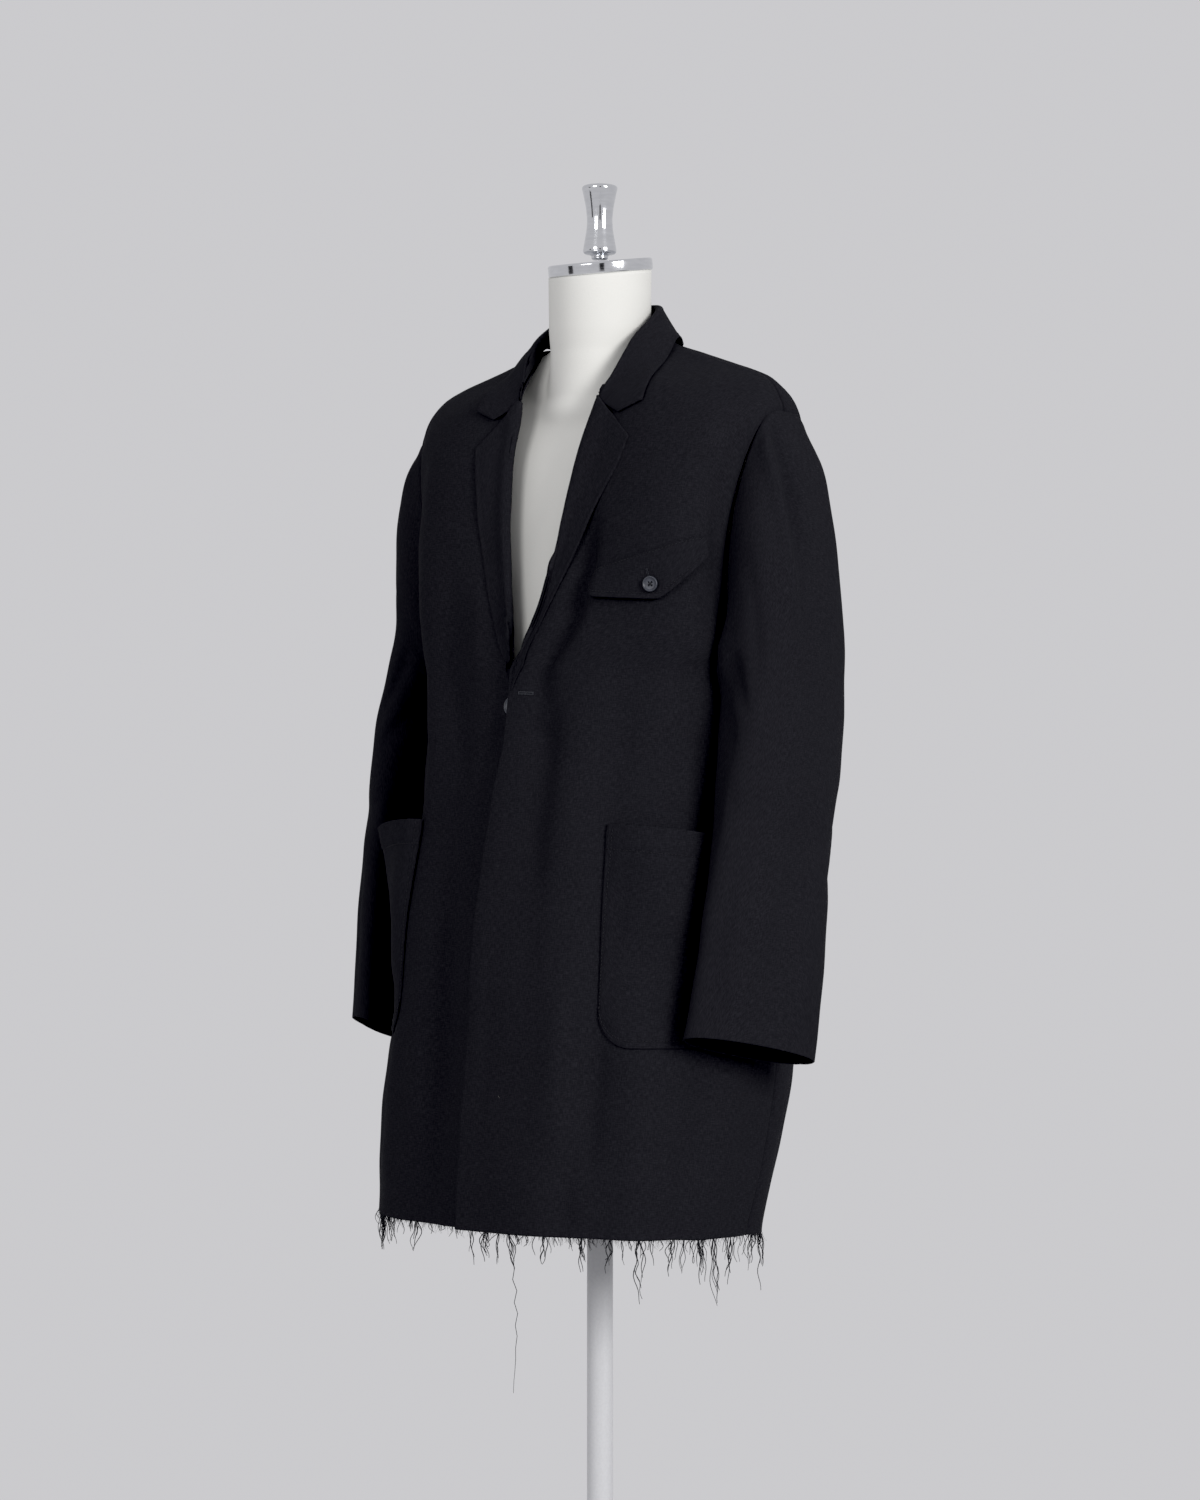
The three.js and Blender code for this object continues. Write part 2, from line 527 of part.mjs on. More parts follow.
// Fronts and back, held a hair away from the side seams, armholes and shoulder seams
const HAIR = 0.0003;
const FRONT_COLUMNS = even(16);
const LOWER_ROWS = 11;
const PANEL_ROWS = [
  ...even(LOWER_ROWS).slice(0, -1).map((j) => j * UNDERARM_V),
  ...ARMHOLE.map((w) => mix(UNDERARM_V, 1, w)),
];
const frontSurface = (side) => (i, j) => frontPoint(side, i * (1 - HAIR), j * (1 - HAIR));
function addFront(name, side) {
  const point = frontSurface(side);
  const mitre = (i, j) => {
    if (i === 1 && j > UNDERARM_V) {
      return armholeMitre(side, -Math.PI * (1 - (j - UNDERARM_V) / (1 - UNDERARM_V)));
    }
    if (i === 1) {
      return new THREE.Vector3(side, 0, 0);
    }
    return j === 1 ? shoulderMitre(side, i) : null;
  };
  add(name, wall(point, side, FRONT_COLUMNS, PANEL_ROWS, mitre), cloth);
}
addFront('front_left', 1);
addFront('front_right', -1);

const backMitre = (i, j) => {
  const u = i * 2 - 1;
  const side = Math.sign(u);
  if (Math.abs(u) === 1 && j > UNDERARM_V) {
    return armholeMitre(side, Math.PI * (1 - (j - UNDERARM_V) / (1 - UNDERARM_V)));
  }
  if (Math.abs(u) === 1) {
    return new THREE.Vector3(side, 0, 0);
  }
  const share = (Math.abs(u) - NECK_SHARE) / (1 - NECK_SHARE);
  return j === 1 && share > 0 ? shoulderMitre(side, share) : null;
};
const backSurface = (i, j) => backPoint((i * 2 - 1) * (1 - HAIR), j * (1 - HAIR));
const SHOULDER_SHARES = [0, 0.125, 0.25, 0.375, 0.5, 0.625, 0.75, 0.8125, 0.875, 0.9375, 1];
const backHalf = [0.1, 0.2, 0.3, ...SHOULDER_SHARES.map((share) => mix(NECK_SHARE, 1, share))];
const BACK_COLUMNS = [
  ...backHalf.map((u) => (1 - u) / 2).reverse(),
  0.5,
  ...backHalf.map((u) => (1 + u) / 2),
];
add('back', wall(backSurface, -1, BACK_COLUMNS, PANEL_ROWS, backMitre), cloth);

// Sleeves, each in an upper and an under piece. Their columns start at the armhole's shared places
const SLEEVE_GAP = 0.004;
const frontAngles = ARMHOLE.map((w) => -Math.PI * (1 - w));
const backAngles = ARMHOLE.map((w) => Math.PI * (1 - w)).reverse();
const seamAngle = { front: -Math.PI * (1 - SLEEVE_SEAM.front), back: Math.PI * (1 - SLEEVE_SEAM.back) };
const ring = [...frontAngles, ...backAngles.slice(1)];
const upperAngles = ring.filter((a) => a > seamAngle.front - 1e-6 && a < seamAngle.back + 1e-6);
const underAngles = [
  ...ring.filter((a) => a > seamAngle.back - 1e-6),
  ...ring.slice(1).filter((a) => a < seamAngle.front + 1e-6).map((a) => a + 2 * Math.PI),
];
function addSleeve(name, side, angles) {
  const first = angles[0];
  const last = angles[angles.length - 1];
  const columns = angles.map((a) => (a - first) / (last - first));
  const angleOf = (i) => mix(first + SLEEVE_GAP, last - SLEEVE_GAP, i);
  const point = (i, j) => {
    const p = sleevePoint(side, angleOf(i), j);
    p.x += side * SEAM * 2.4 * (1 - j);
    p.z -= SEAM * 0.35 * (1 - j);
    return p;
  };
  const mitre = (i, j) => (j === 0 ? armholeMitre(side, angleOf(i)) : null);
  add(name, wall(point, -side, columns, even(15), mitre), cloth);
}
addSleeve('upper_sleeve_left', 1, upperAngles);
addSleeve('under_sleeve_left', 1, underAngles);
addSleeve('upper_sleeve_right', -1, upperAngles);
addSleeve('under_sleeve_right', -1, underAngles);

// Faceted front panels, so that what lies on a panel can follow its flat facets
const panels = {
  [1]: grid(FRONT_COLUMNS, PANEL_ROWS, frontSurface(1)),
  [-1]: grid(FRONT_COLUMNS, PANEL_ROWS, frontSurface(-1)),
};
const cellOf = (shares, value) => {
  const next = shares.findIndex((share) => share > value);
  const cell = next < 0 ? shares.length - 2 : Math.max(next - 1, 0);
  return [cell, (value - shares[cell]) / (shares[cell + 1] - shares[cell])];
};
function facetPoint(side, u, v) {
  const [i, s] = cellOf(FRONT_COLUMNS, u);
  const [j, t] = cellOf(PANEL_ROWS, v);
  const a = panels[side][j][i];
  const c = panels[side][j + 1][i + 1];
  const corner = s > t ? panels[side][j][i + 1] : panels[side][j + 1][i];
  const point = a.clone();
  point.addScaledVector(corner.clone().sub(a), Math.max(s, t));
  return point.addScaledVector(c.clone().sub(corner), Math.min(s, t));
}

function offPanel(side, u, v, out) {
  return facetPoint(side, u, v).addScaledVector(frontNormal(side, u, v), out);
}

// A piece that lies on a front: each of its faces is the panel's own surface moved out
function overlay(side, columns, rows, place, out, thickness) {
  const layer = (depth) => Array.from({ length: rows + 1 }, (_, j) =>
    Array.from({ length: columns + 1 }, (_, i) => {
      const [u, v] = place(i, j);
      return offPanel(side, u, v, out(i / columns, j / rows) - depth);
    }));
  return shell(layer(0), layer(thickness), side);
}

// Lapels: from the roll line to the outer edge, a little raised where the cloth rolls over
const SEAT = 0.7;
function addLapel(name, side) {
  const table = side > 0 ? LAPEL_LEFT : LAPEL_RIGHT;
  const rolls = side > 0 ? ROLL_LEFT : ROLL_RIGHT;
  const columns = 5;
  const rows = 12;
  const place = (i, j) => {
    const t = j / rows;
    const w = LAPEL.rollEnd * t;
    const x = mix(smooth(rolls, 'w', 'x', w), smooth(table, 't', 'x', t), i / columns);
    const z = mix(smooth(rolls, 'w', 'z', w), smooth(table, 't', 'z', t), i / columns);
    return placeOnFront(side, x, z);
  };
  const out = (a) => SEAT + LAPEL.thickness + LAPEL.lift * Math.exp(-(((a - 0.12) / 0.22) ** 2));
  add(name, overlay(side, columns, rows, place, out, LAPEL.thickness), cloth);
}
addLapel('lapel_left', 1);
addLapel('lapel_right', -1);

// Patch pockets: their rows and columns follow the panel's own, and the mouth gapes
function addPocket(name, side) {
  const size = side > 0 ? POCKET_LEFT : POCKET_RIGHT;
  const heightOf = (u, z) => {
    let v = (UNDERARM_V * (z - HEM_Z)) / (UNDERARM_Z - HEM_Z);
    for (let round = 0; round < 4; round += 1) {
      v += (z - frontPoint(side, u, v).z) / 880;
    }
    return v;
  };
  const edgeU = placeOnFront(side, size.edge, (size.bottom + size.mouth) / 2)[0];
  const us = [edgeU];
  us.push(...FRONT_COLUMNS.filter((u) => u > edgeU + 0.015 && u < size.sideShare - 0.02), size.sideShare);
  const vs = PANEL_ROWS.filter((v) => {
    const z = mix(HEM_Z, UNDERARM_Z, v / UNDERARM_V);
    return z > size.bottom + size.corner + 10 && z < size.mouth - size.slope - 6;
  });
  const columns = us.length - 1;
  const rows = vs.length + 1;
  const place = (i, j) => {
    if (j === 0) {
      const rise = [1, 0.18, 0][Math.min(i, 2)];
      return [us[i], heightOf(us[i], size.bottom + size.corner * rise)];
    }
    if (j === rows) {
      return [us[i], heightOf(us[i], size.mouth - (size.slope * i) / columns)];
    }
    return [us[i], vs[j - 1]];
  };
  const out = (a, b) => SEAT + CLOTH + size.gape * dome(a) ** 0.8 * b ** size.fall;
  add(name, overlay(side, columns, rows, place, out, CLOTH), cloth);
}
addPocket('pocket_left', 1);
addPocket('pocket_right', -1);

// Chest flap: stitched down along its top edge, standing off a little along the lower one
{
  const columns = FLAP.length - 1;
  const rows = 4;
  const place = (i, j) => placeOnFront(1, FLAP[i].x, mix(FLAP[i].bottom, FLAP[i].top, j / rows));
  const out = (a, b) => SEAT + FLAP_SEAM + CLOTH + FLAP_LIFT * (1 - b) ** 1.5;
  add('chest_flap', overlay(1, columns, rows, place, out, CLOTH), cloth);
}

// Buttons: a disc with a raised rim and a dished middle, turned to face along the panel's normal
function addButton(name, side, size, out) {
  const { radius: r, thickness: t } = size;
  const profile = [
    [0, 0],
    [r * 0.86, 0],
    [r, t * 0.35],
    [r, t * 0.8],
    [r * 0.88, t],
    [r * 0.72, t * 0.72],
    [0, t * 0.62],
  ];
  const geometry = new THREE.LatheGeometry(profile.map(([x, y]) => new THREE.Vector2(x, y)), 14);
  const [u, v] = placeOnFront(side, size.x, size.z);
  const normal = frontNormal(side, u, v);
  geometry.applyQuaternion(new THREE.Quaternion().setFromUnitVectors(new THREE.Vector3(0, 1, 0), normal));
  const centre = offPanel(side, u, v, out);
  geometry.translate(centre.x, centre.y, centre.z);
  add(name, weld(geometry), horn);
}
addButton('flap_button', 1, FLAP_BUTTON, SEAT + CLOTH + FLAP_LIFT * 0.7 + 0.8);
addButton('front_button', -1, FRONT_BUTTON, 0.6);

// Collar: a stand and a leaf folded over it, in one folded surface with a rounded fold. Its points are
// kept clear of samples taken on the fronts and the back
const samples = [1, -1].flatMap((side) => grid(even(40), even(36), (i, j) => {
  const v = Math.min(mix(0.78, 1, j), 0.998);
  return { point: facetPoint(side, Math.min(i, 0.999), v), normal: frontNormal(side, i, v) };
}).flat());
samples.push(...grid(even(80), even(24), (i, j) => {
  const v = Math.min(mix(0.85, 1, j), 0.998);
  return { point: backSurface(i, v), normal: surfaceNormal(backSurface, -1, i, v) };
}).flat());
function liftOff(p, clearance) {
  let nearest = samples[0];
  for (const sample of samples) {
    if (sample.point.distanceToSquared(p) < nearest.point.distanceToSquared(p)) {
      nearest = sample;
    }
  }
  const away = p.clone().sub(nearest.point).dot(nearest.normal);
  return away < clearance ? p.clone().addScaledVector(nearest.normal, clearance - away) : p;
}

function collarSeam(side, t) {
  if (t <= COLLAR_NECK) {
    const [x, y, z] = backTop(side, (NECK_SHARE * t) / COLLAR_NECK);
    return new THREE.Vector3(side * x, y - 1, z + 1);
  }
  const w = mix(1, LAPEL.rollEnd + 0.02, (t - COLLAR_NECK) / (1 - COLLAR_NECK));
  const roll = (name) => smooth(side > 0 ? ROLL_LEFT : ROLL_RIGHT, 'w', name, w);
  return new THREE.Vector3(side * roll('x'), roll('y') - 1, roll('z') + 1);
}

const COLLAR_ROWS = [0, 0.18, 0.34, 0.48, 0.6, 0.7, 0.78, 0.84, 0.89, 0.925, 0.95, 0.968, 0.984, 1];
const STAND_STEPS = 2;
const ROUND_STEPS = 3;
const LEAF_STEPS = 4;
function collarPoint(t, step) {
  const side = t < 0 ? -1 : 1;
  const at = Math.abs(t);
  const c = (name) => smooth(COLLAR, 't', name, at);
  const fold = new THREE.Vector3(side * c('foldX'), c('foldY'), c('foldZ'));
  const edge = new THREE.Vector3(side * c('edgeX'), c('edgeY'), c('edgeZ'));
  const outward = edge.clone().sub(fold).setZ(0).normalize();
  const r = c('round');
  const centre = fold.clone().setZ(fold.z - r);
  if (step <= STAND_STEPS) {
    return collarSeam(side, at).lerp(centre.addScaledVector(outward, -r), step / STAND_STEPS);
  }
  if (step < STAND_STEPS + ROUND_STEPS) {
    const angle = Math.PI * (1 - (step - STAND_STEPS) / ROUND_STEPS);
    centre.addScaledVector(outward, r * Math.cos(angle));
    centre.z += r * Math.sin(angle);
    return centre;
  }
  const along = (step - STAND_STEPS - ROUND_STEPS) / LEAF_STEPS;
  const p = centre.addScaledVector(outward, r).lerp(edge, along);
  p.z -= c('dip') * (1 - Math.abs(2 * along - 1)) * Math.max((at - 0.9) / 0.1, 0);
  return p;
}
{
  const rows = [...COLLAR_ROWS.slice(1).map((t) => -t).reverse(), ...COLLAR_ROWS];
  const around = rows.length - 1;
  const steps = STAND_STEPS + ROUND_STEPS + LEAF_STEPS;
  const middle = grid([...Array(steps + 1).keys()], rows, (i, t) => {
    const end = THREE.MathUtils.smoothstep(Math.abs(t), 0.76, 0.95);
    return liftOff(collarPoint(t, i), CLOTH / 2 + SEAT + COLLAR_FRONT_LIFT * end);
  });
  const normals = middle.map((row, j) => row.map((_, i) => {
    const du = middle[j][Math.min(i + 1, steps)].clone().sub(middle[j][Math.max(i - 1, 0)]);
    const dv = middle[Math.min(j + 1, around)][i].clone().sub(middle[Math.max(j - 1, 0)][i]);
    return du.cross(dv).normalize();
  }));
  const moved = (j, i, offset) => middle[j][i].clone().addScaledVector(normals[j][i], offset);
  const layer = (offset) => middle.map((row, j) => row.map((_, i) => moved(j, i, offset)));
  add('collar', shell(layer(CLOTH / 2), layer(-CLOTH / 2), 1), cloth);
}

// Fringe of the raw hem: a narrow strip of frayed cloth below each piece's edge with threads hanging
// from it. Each thread is a tapering three-sided strand rooted in the strip
function seeded(seed) {
  let state = seed;
  return () => {
    state = (state * 1664525 + 1013904223) % 4294967296;
    return state / 4294967296;
  };
}

function strand(points, radii, turn) {
  const positions = [];
  const triangles = [];
  points.forEach((p, k) => {
    for (let i = 0; i < 3; i += 1) {
      const angle = turn + (2 * Math.PI * i) / 3;
      positions.push(p.x + radii[k] * Math.cos(angle), p.y + radii[k] * Math.sin(angle), p.z);
    }
  });
  for (let k = 0; k < points.length - 1; k += 1) {
    for (let i = 0; i < 3; i += 1) {
      const a = k * 3 + i;
      const b = k * 3 + ((i + 1) % 3);
      triangles.push(a, a + 3, b, b, a + 3, b + 3);
    }
  }
  const last = (points.length - 1) * 3;
  triangles.push(0, 1, 2, last, last + 2, last + 1);
  return new wasm.Manifold(new wasm.Mesh({
    numProp: 3,
    vertProperties: new Float32Array(positions),
    triVerts: new Uint32Array(triangles),
  }));
}

function asManifold(geometry) {
  return new wasm.Manifold(new wasm.Mesh({
    numProp: 3,
    vertProperties: geometry.getAttribute('position').array,
    triVerts: new Uint32Array(geometry.getIndex().array),
  }));
}

function addFringe(name, point, flip, columns, count, seed, longOnes) {
  const rim = (i) => ({ p: point(i, 0), normal: surfaceNormal(point, flip, i, 0) });
  const faces = [-FRINGE.inset, -FRINGE.inset - FRINGE.thickness].map((depth) =>
    [FRINGE.strip + SEAM, SEAM].map((down) => columns.map((i) => {
      const { p, normal } = rim(i);
      return p.addScaledVector(normal, depth).setZ(p.z - down);
    })));
  const strip = asManifold(shell(faces[0], faces[1], flip));
  const random = seeded(seed);
  const strands = [];
  const hang = (i, length, radius, drift, swing) => {
    const [cell, share] = cellOf(columns, i);
    const s = THREE.MathUtils.clamp(share, 0.12, 0.88);
    const a = rim(columns[cell]);
    const b = rim(columns[cell + 1]);
    const root = a.p.lerp(b.p, s);
    root.addScaledVector(a.normal.lerp(b.normal, s), -FRINGE.inset - FRINGE.thickness / 2);
    root.z -= SEAM + FRINGE.strip * 0.4;
    const middle = root.clone().add(new THREE.Vector3(drift * 0.35, swing * 0.3, -length * 0.5));
    const end = root.clone().add(new THREE.Vector3(drift, swing, -length));
    const path = length > FRINGE.medium ? [root, middle, end] : [root, end];
    const radii = length > FRINGE.medium ? [radius, radius, radius * 0.6] : [radius, radius * 0.6];
    strands.push(strand(path, radii, random() * 6));
  };
  for (let k = 0; k < count; k += 1) {
    const i = (k + 0.25 + 0.5 * random()) / count;
    const tall = random();
    const length = mix(FRINGE.short, FRINGE.medium, tall * tall);
    hang(i, length, FRINGE.radius, (random() - 0.5) * 4, (random() - 0.5) * 4);
  }
  for (const { at, length, drift } of longOnes) {
    hang(at, length, FRINGE.radius * 1.15, drift, -1.5);
  }
  const joined = wasm.Manifold.union([strip, ...strands]).getMesh();
  const geometry = new THREE.BufferGeometry();
  geometry.setAttribute('position', new THREE.Float32BufferAttribute(joined.vertProperties, 3));
  geometry.setIndex([...joined.triVerts]);
  add(name, geometry, cloth);
}
addFringe('fringe_left', frontSurface(1), 1, FRONT_COLUMNS, 34, 7, FRINGE_LEFT);
addFringe('fringe_right', frontSurface(-1), -1, FRONT_COLUMNS, 30, 11, FRINGE_RIGHT);
addFringe('fringe_back', backSurface, -1, BACK_COLUMNS, 56, 5, FRINGE_BACK);

// Dress form
{
  const around = 26;
  const levels = FORM.length - 1;
  const rings = grid(even(around), FORM, (i, row) => {
    const angle = 2 * Math.PI * i;
    const sin = Math.sin(angle);
    const cos = Math.cos(angle);
    const reach = cos > 0 ? row.back : -row.front;
    const across = Math.abs(sin / row.half) ** row.square;
    const along = Math.abs(cos / reach) ** row.square;
    const trunk = (across + along) ** (-1 / row.square);
    const radius = (trunk ** 8 + row.neck ** 8) ** (1 / 8);
    const y = radius * cos;
    return new THREE.Vector3(radius * sin, y, row.z + row.tilt * y);
  });
  const positions = rings.flatMap((row) => row.slice(0, around)).flatMap((p) => [p.x, p.y, p.z]);
  const triangles = [];
  for (let j = 0; j < levels; j += 1) {
    for (let i = 0; i < around; i += 1) {
      const a = j * around + i;
      const b = j * around + ((i + 1) % around);
      triangles.push(a, a + around, b, b, a + around, b + around);
    }
  }
  const top = levels * around;
  for (let i = 1; i < around - 1; i += 1) {
    triangles.push(0, i, i + 1);
    triangles.push(top, top + i + 1, top + i);
  }
  const geometry = new THREE.BufferGeometry();
  geometry.setAttribute('position', new THREE.Float32BufferAttribute(positions, 3));
  geometry.setIndex(triangles);
  add('dress_form', geometry, linen);
}

// Turned metal parts: neck cap, knob, pole and base
function weld(geometry) {
  const plain = new THREE.BufferGeometry();
  plain.setAttribute('position', geometry.getAttribute('position'));
  plain.setIndex(geometry.getIndex());
  return mergeVertices(plain, 1e-4);
}
function turned(profile, segments) {
  const geometry = new THREE.LatheGeometry(profile.map(([r, h]) => new THREE.Vector2(r, h)), segments);
  return weld(geometry.rotateX(Math.PI / 2));
}
const capZ = FORM[FORM.length - 1].z + SEAM;
const capProfile = [
  [0, 0],
  [NECK_CAP.radius - 1, 0],
  [NECK_CAP.radius, 1],
  [NECK_CAP.radius, NECK_CAP.height - 1.5],
  [NECK_CAP.radius - 1.5, NECK_CAP.height],
  [0, NECK_CAP.height],
];
const cap = turned(capProfile, 24);
cap.rotateX(NECK_CAP.tilt).translate(0, NECK_CAP.y, capZ);
add('neck_cap', cap, chrome);
// The cap is tilted, so the knob's stem stands clear of the cap's higher side
const knobZ = capZ + NECK_CAP.height + KNOB[0].r * NECK_CAP.tilt + SEAM;
const knobProfile = [[0, 0], ...KNOB.map(({ r, h }) => [r, h]), [0, KNOB_TOP]];
add('knob', turned(knobProfile, 16).translate(0, NECK_CAP.y - 2, knobZ), chrome);
const poleFoot = BASE.height + SEAM;
const poleTop = FORM[0].z - SEAM;
const poleProfile = [[0, poleFoot], [POLE_RADIUS, poleFoot], [POLE_RADIUS, poleTop], [0, poleTop]];
add('pole', turned(poleProfile, 20), chrome);
const inside = POLE_RADIUS + SEAM;
const baseProfile = [
  [0, 0],
  [BASE.radius - BASE.edge, 0],
  [BASE.radius, BASE.edge],
  [BASE.radius, BASE.height - BASE.edge],
  [BASE.radius - BASE.edge, BASE.height],
  [BASE.collar, BASE.height],
  [BASE.collar, BASE.collarHeight],
  [inside, BASE.collarHeight],
  [inside, BASE.height],
  [0, BASE.height],
];
add('base', turned(baseProfile, 30), chrome);

export default coat;
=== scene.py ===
# %% [markdown]
# # A work coat on a dress form
#
# A black wool work coat hangs open on an ivory dress form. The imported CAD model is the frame: it gives
# every sub-part its place and size. This lesson dresses that frame. Each piece of cloth is worked out
# again with numpy, on a much finer grid, and gets its creases, its sewn seams and its weave.

# %% Load the frame
import math

import bmesh
import bpy
import numpy as np
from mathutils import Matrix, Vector


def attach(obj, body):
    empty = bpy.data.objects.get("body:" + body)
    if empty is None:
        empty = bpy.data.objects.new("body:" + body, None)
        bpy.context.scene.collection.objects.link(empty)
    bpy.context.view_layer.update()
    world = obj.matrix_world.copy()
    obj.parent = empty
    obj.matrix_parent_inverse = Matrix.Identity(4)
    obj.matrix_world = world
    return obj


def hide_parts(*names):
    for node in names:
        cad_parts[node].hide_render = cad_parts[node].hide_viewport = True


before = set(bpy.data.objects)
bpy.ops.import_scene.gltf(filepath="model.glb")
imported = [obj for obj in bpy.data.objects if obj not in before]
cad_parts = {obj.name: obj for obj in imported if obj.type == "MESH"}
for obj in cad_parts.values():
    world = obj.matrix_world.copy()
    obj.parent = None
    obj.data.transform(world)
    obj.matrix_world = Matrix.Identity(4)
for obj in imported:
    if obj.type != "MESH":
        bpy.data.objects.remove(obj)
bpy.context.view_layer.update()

MM = 0.001

# %% [markdown]
# ## Camera
#
# The photograph was taken from the wearer's left, at about the height of the top button. A long lens
# keeps the outline nearly parallel. The camera only turns about the vertical, so upright edges stay upright.

# %% Camera
CAMERA_AZIMUTH = math.radians(35)
CAMERA_DISTANCE = 3.6
CAMERA_HEIGHT = 1.05
SENSOR_HEIGHT = 36.0
LENS = 86.4

camera_data = bpy.data.cameras.new("camera")
camera_data.sensor_fit = "VERTICAL"
camera_data.sensor_height = SENSOR_HEIGHT
camera_data.lens = LENS
camera = bpy.data.objects.new("camera", camera_data)
camera.location = (
    CAMERA_DISTANCE * math.sin(CAMERA_AZIMUTH),
    -CAMERA_DISTANCE * math.cos(CAMERA_AZIMUTH),
    CAMERA_HEIGHT,
)
camera.rotation_euler = (math.pi / 2, 0, CAMERA_AZIMUTH)
bpy.context.scene.collection.objects.link(camera)
bpy.context.scene.camera = camera
print("camera at", [round(x, 3) for x in camera.location])

# %% [markdown]
# ## Light
#
# Black wool hides its shape unless the light comes from one side. The room looks pale, but only a part of
# its light reaches the coat, so that hollows stay dark. A large softbox to the right of the camera models
# the folds, and a second one in front lights the form. Dark cards, which only shiny surfaces see, give
# the chrome its dark stripes. The photograph's darkest tones are clipped, so the view has a black point.

# %% Room and lights
ROOM_COLOUR = (0.6, 0.597, 0.615, 1)
ROOM_LIGHT = (0.4, 0.4, 0.42, 1)
BLACK_POINT = 0.0074
AIM = (0.0, 0.0, 1.05)

scene = bpy.context.scene
scene.view_settings.view_transform = "Standard"
scene.view_settings.use_curve_mapping = True
scene.view_settings.curve_mapping.black_level = (BLACK_POINT,) * 3
scene.view_settings.curve_mapping.update()
world = bpy.data.worlds.new("pale_room")
world.use_nodes = True
room = world.node_tree.nodes["Background"]
room.inputs["Color"].default_value = ROOM_LIGHT
backdrop = world.node_tree.nodes.new("ShaderNodeBackground")
backdrop.inputs["Color"].default_value = ROOM_COLOUR
seen = world.node_tree.nodes.new("ShaderNodeLightPath")
either = world.node_tree.nodes.new("ShaderNodeMath")
either.operation = "MAXIMUM"
choice = world.node_tree.nodes.new("ShaderNodeMixShader")
world.node_tree.links.new(seen.outputs["Is Camera Ray"], either.inputs[0])
world.node_tree.links.new(seen.outputs["Is Glossy Ray"], either.inputs[1])
world.node_tree.links.new(either.outputs[0], choice.inputs["Fac"])
world.node_tree.links.new(room.outputs[0], choice.inputs[1])
world.node_tree.links.new(backdrop.outputs[0], choice.inputs[2])
world.node_tree.links.new(choice.outputs[0], world.node_tree.nodes["World Output"].inputs["Surface"])
scene.world = world


def aimed(obj, place, aim=AIM):
    """Puts an object at a place and turns its -Z axis towards the aim."""
    obj.location = place
    obj.rotation_euler = (Vector(aim) - Vector(place)).to_track_quat("-Z", "Y").to_euler()


def softbox(name, place, size, power):
    """A square area light."""
    data = bpy.data.lights.new(name, "AREA")
    data.size = size
    data.energy = power
    light = bpy.data.objects.new(name, data)
    scene.collection.objects.link(light)
    aimed(light, place)
    return light


key_light = softbox("key_light", (3.2, -0.9, 2.1), 1.2, 74)
front_light = softbox("front_light", (0.2, -3.7, 2.4), 1.4, 38)
print("lights:", key_light.name, front_light.name)

# %% Helpers for shader nodes
def new_material(name):
    """A material with its nodes, its links and its Principled shader."""
    material = bpy.data.materials.new(name)
    material.use_nodes = True
    nodes = material.node_tree.nodes
    shader = nodes["Principled BSDF"]
    return material, nodes, material.node_tree.links, shader


def add_node(nodes, kind, **values):
    """A node with some of its properties and input values set."""
    node = nodes.new(kind)
    for key, value in values.items():
        if key in node.inputs:
            node.inputs[key].default_value = value
        else:
            setattr(node, key, value)
    return node


def noise_on(nodes, links, coordinate, stretch, scale, detail=2.0):
    """A noise texture on coordinates that are stretched by a factor for each axis."""
    mapping = add_node(nodes, "ShaderNodeMapping", Scale=stretch)
    noise = add_node(nodes, "ShaderNodeTexNoise", Scale=scale, Detail=detail)
    links.new(coordinate, mapping.inputs["Vector"])
    links.new(mapping.outputs["Vector"], noise.inputs["Vector"])
    return noise.outputs["Fac"]


def blend(nodes, links, a, b, operation="ADD"):
    """Two values put together by one Math node."""
    node = add_node(nodes, "ShaderNodeMath", operation=operation)
    for socket, value in zip(node.inputs, (a, b)):
        if isinstance(value, (int, float)):
            socket.default_value = value
        else:
            links.new(value, socket)
    return node.outputs[0]


def ramp(nodes, links, value, stops):
    """A colour ramp from a list of (place, colour)."""
    node = nodes.new("ShaderNodeValToRGB")
    elements = node.color_ramp.elements
    while len(elements) < len(stops):
        elements.new(0.5)
    for element, (place, colour) in zip(elements, stops):
        element.position = place
        element.color = (*colour, 1)
    links.new(value, node.inputs["Fac"])
    return node.outputs["Color"]


def join_bump(nodes, links, shader, height, strength, distance):
    """Lets a height raise and sink the shader's surface."""
    bumps = add_node(nodes, "ShaderNodeBump", Strength=strength, Distance=distance)
    links.new(height, bumps.inputs["Height"])
    links.new(bumps.outputs["Normal"], shader.inputs["Normal"])


def join_roughness(nodes, links, shader, value, low, high):
    """Lets a value move the shader's roughness between two limits."""
    rough = add_node(nodes, "ShaderNodeMapRange")
    links.new(value, rough.inputs["Value"])
    rough.inputs["To Min"].default_value = low
    rough.inputs["To Max"].default_value = high
    links.new(rough.outputs["Result"], shader.inputs["Roughness"])


# %% [markdown]
# ## Floor
#
# The photograph shows no floor, only the pale room. A pale disc lies under the stand for the other views,
# and fades out at its edge, so that no horizon cuts through them.

# %% Floor
FLOOR_RADIUS = 1.3
FLOOR_FADE = 0.75


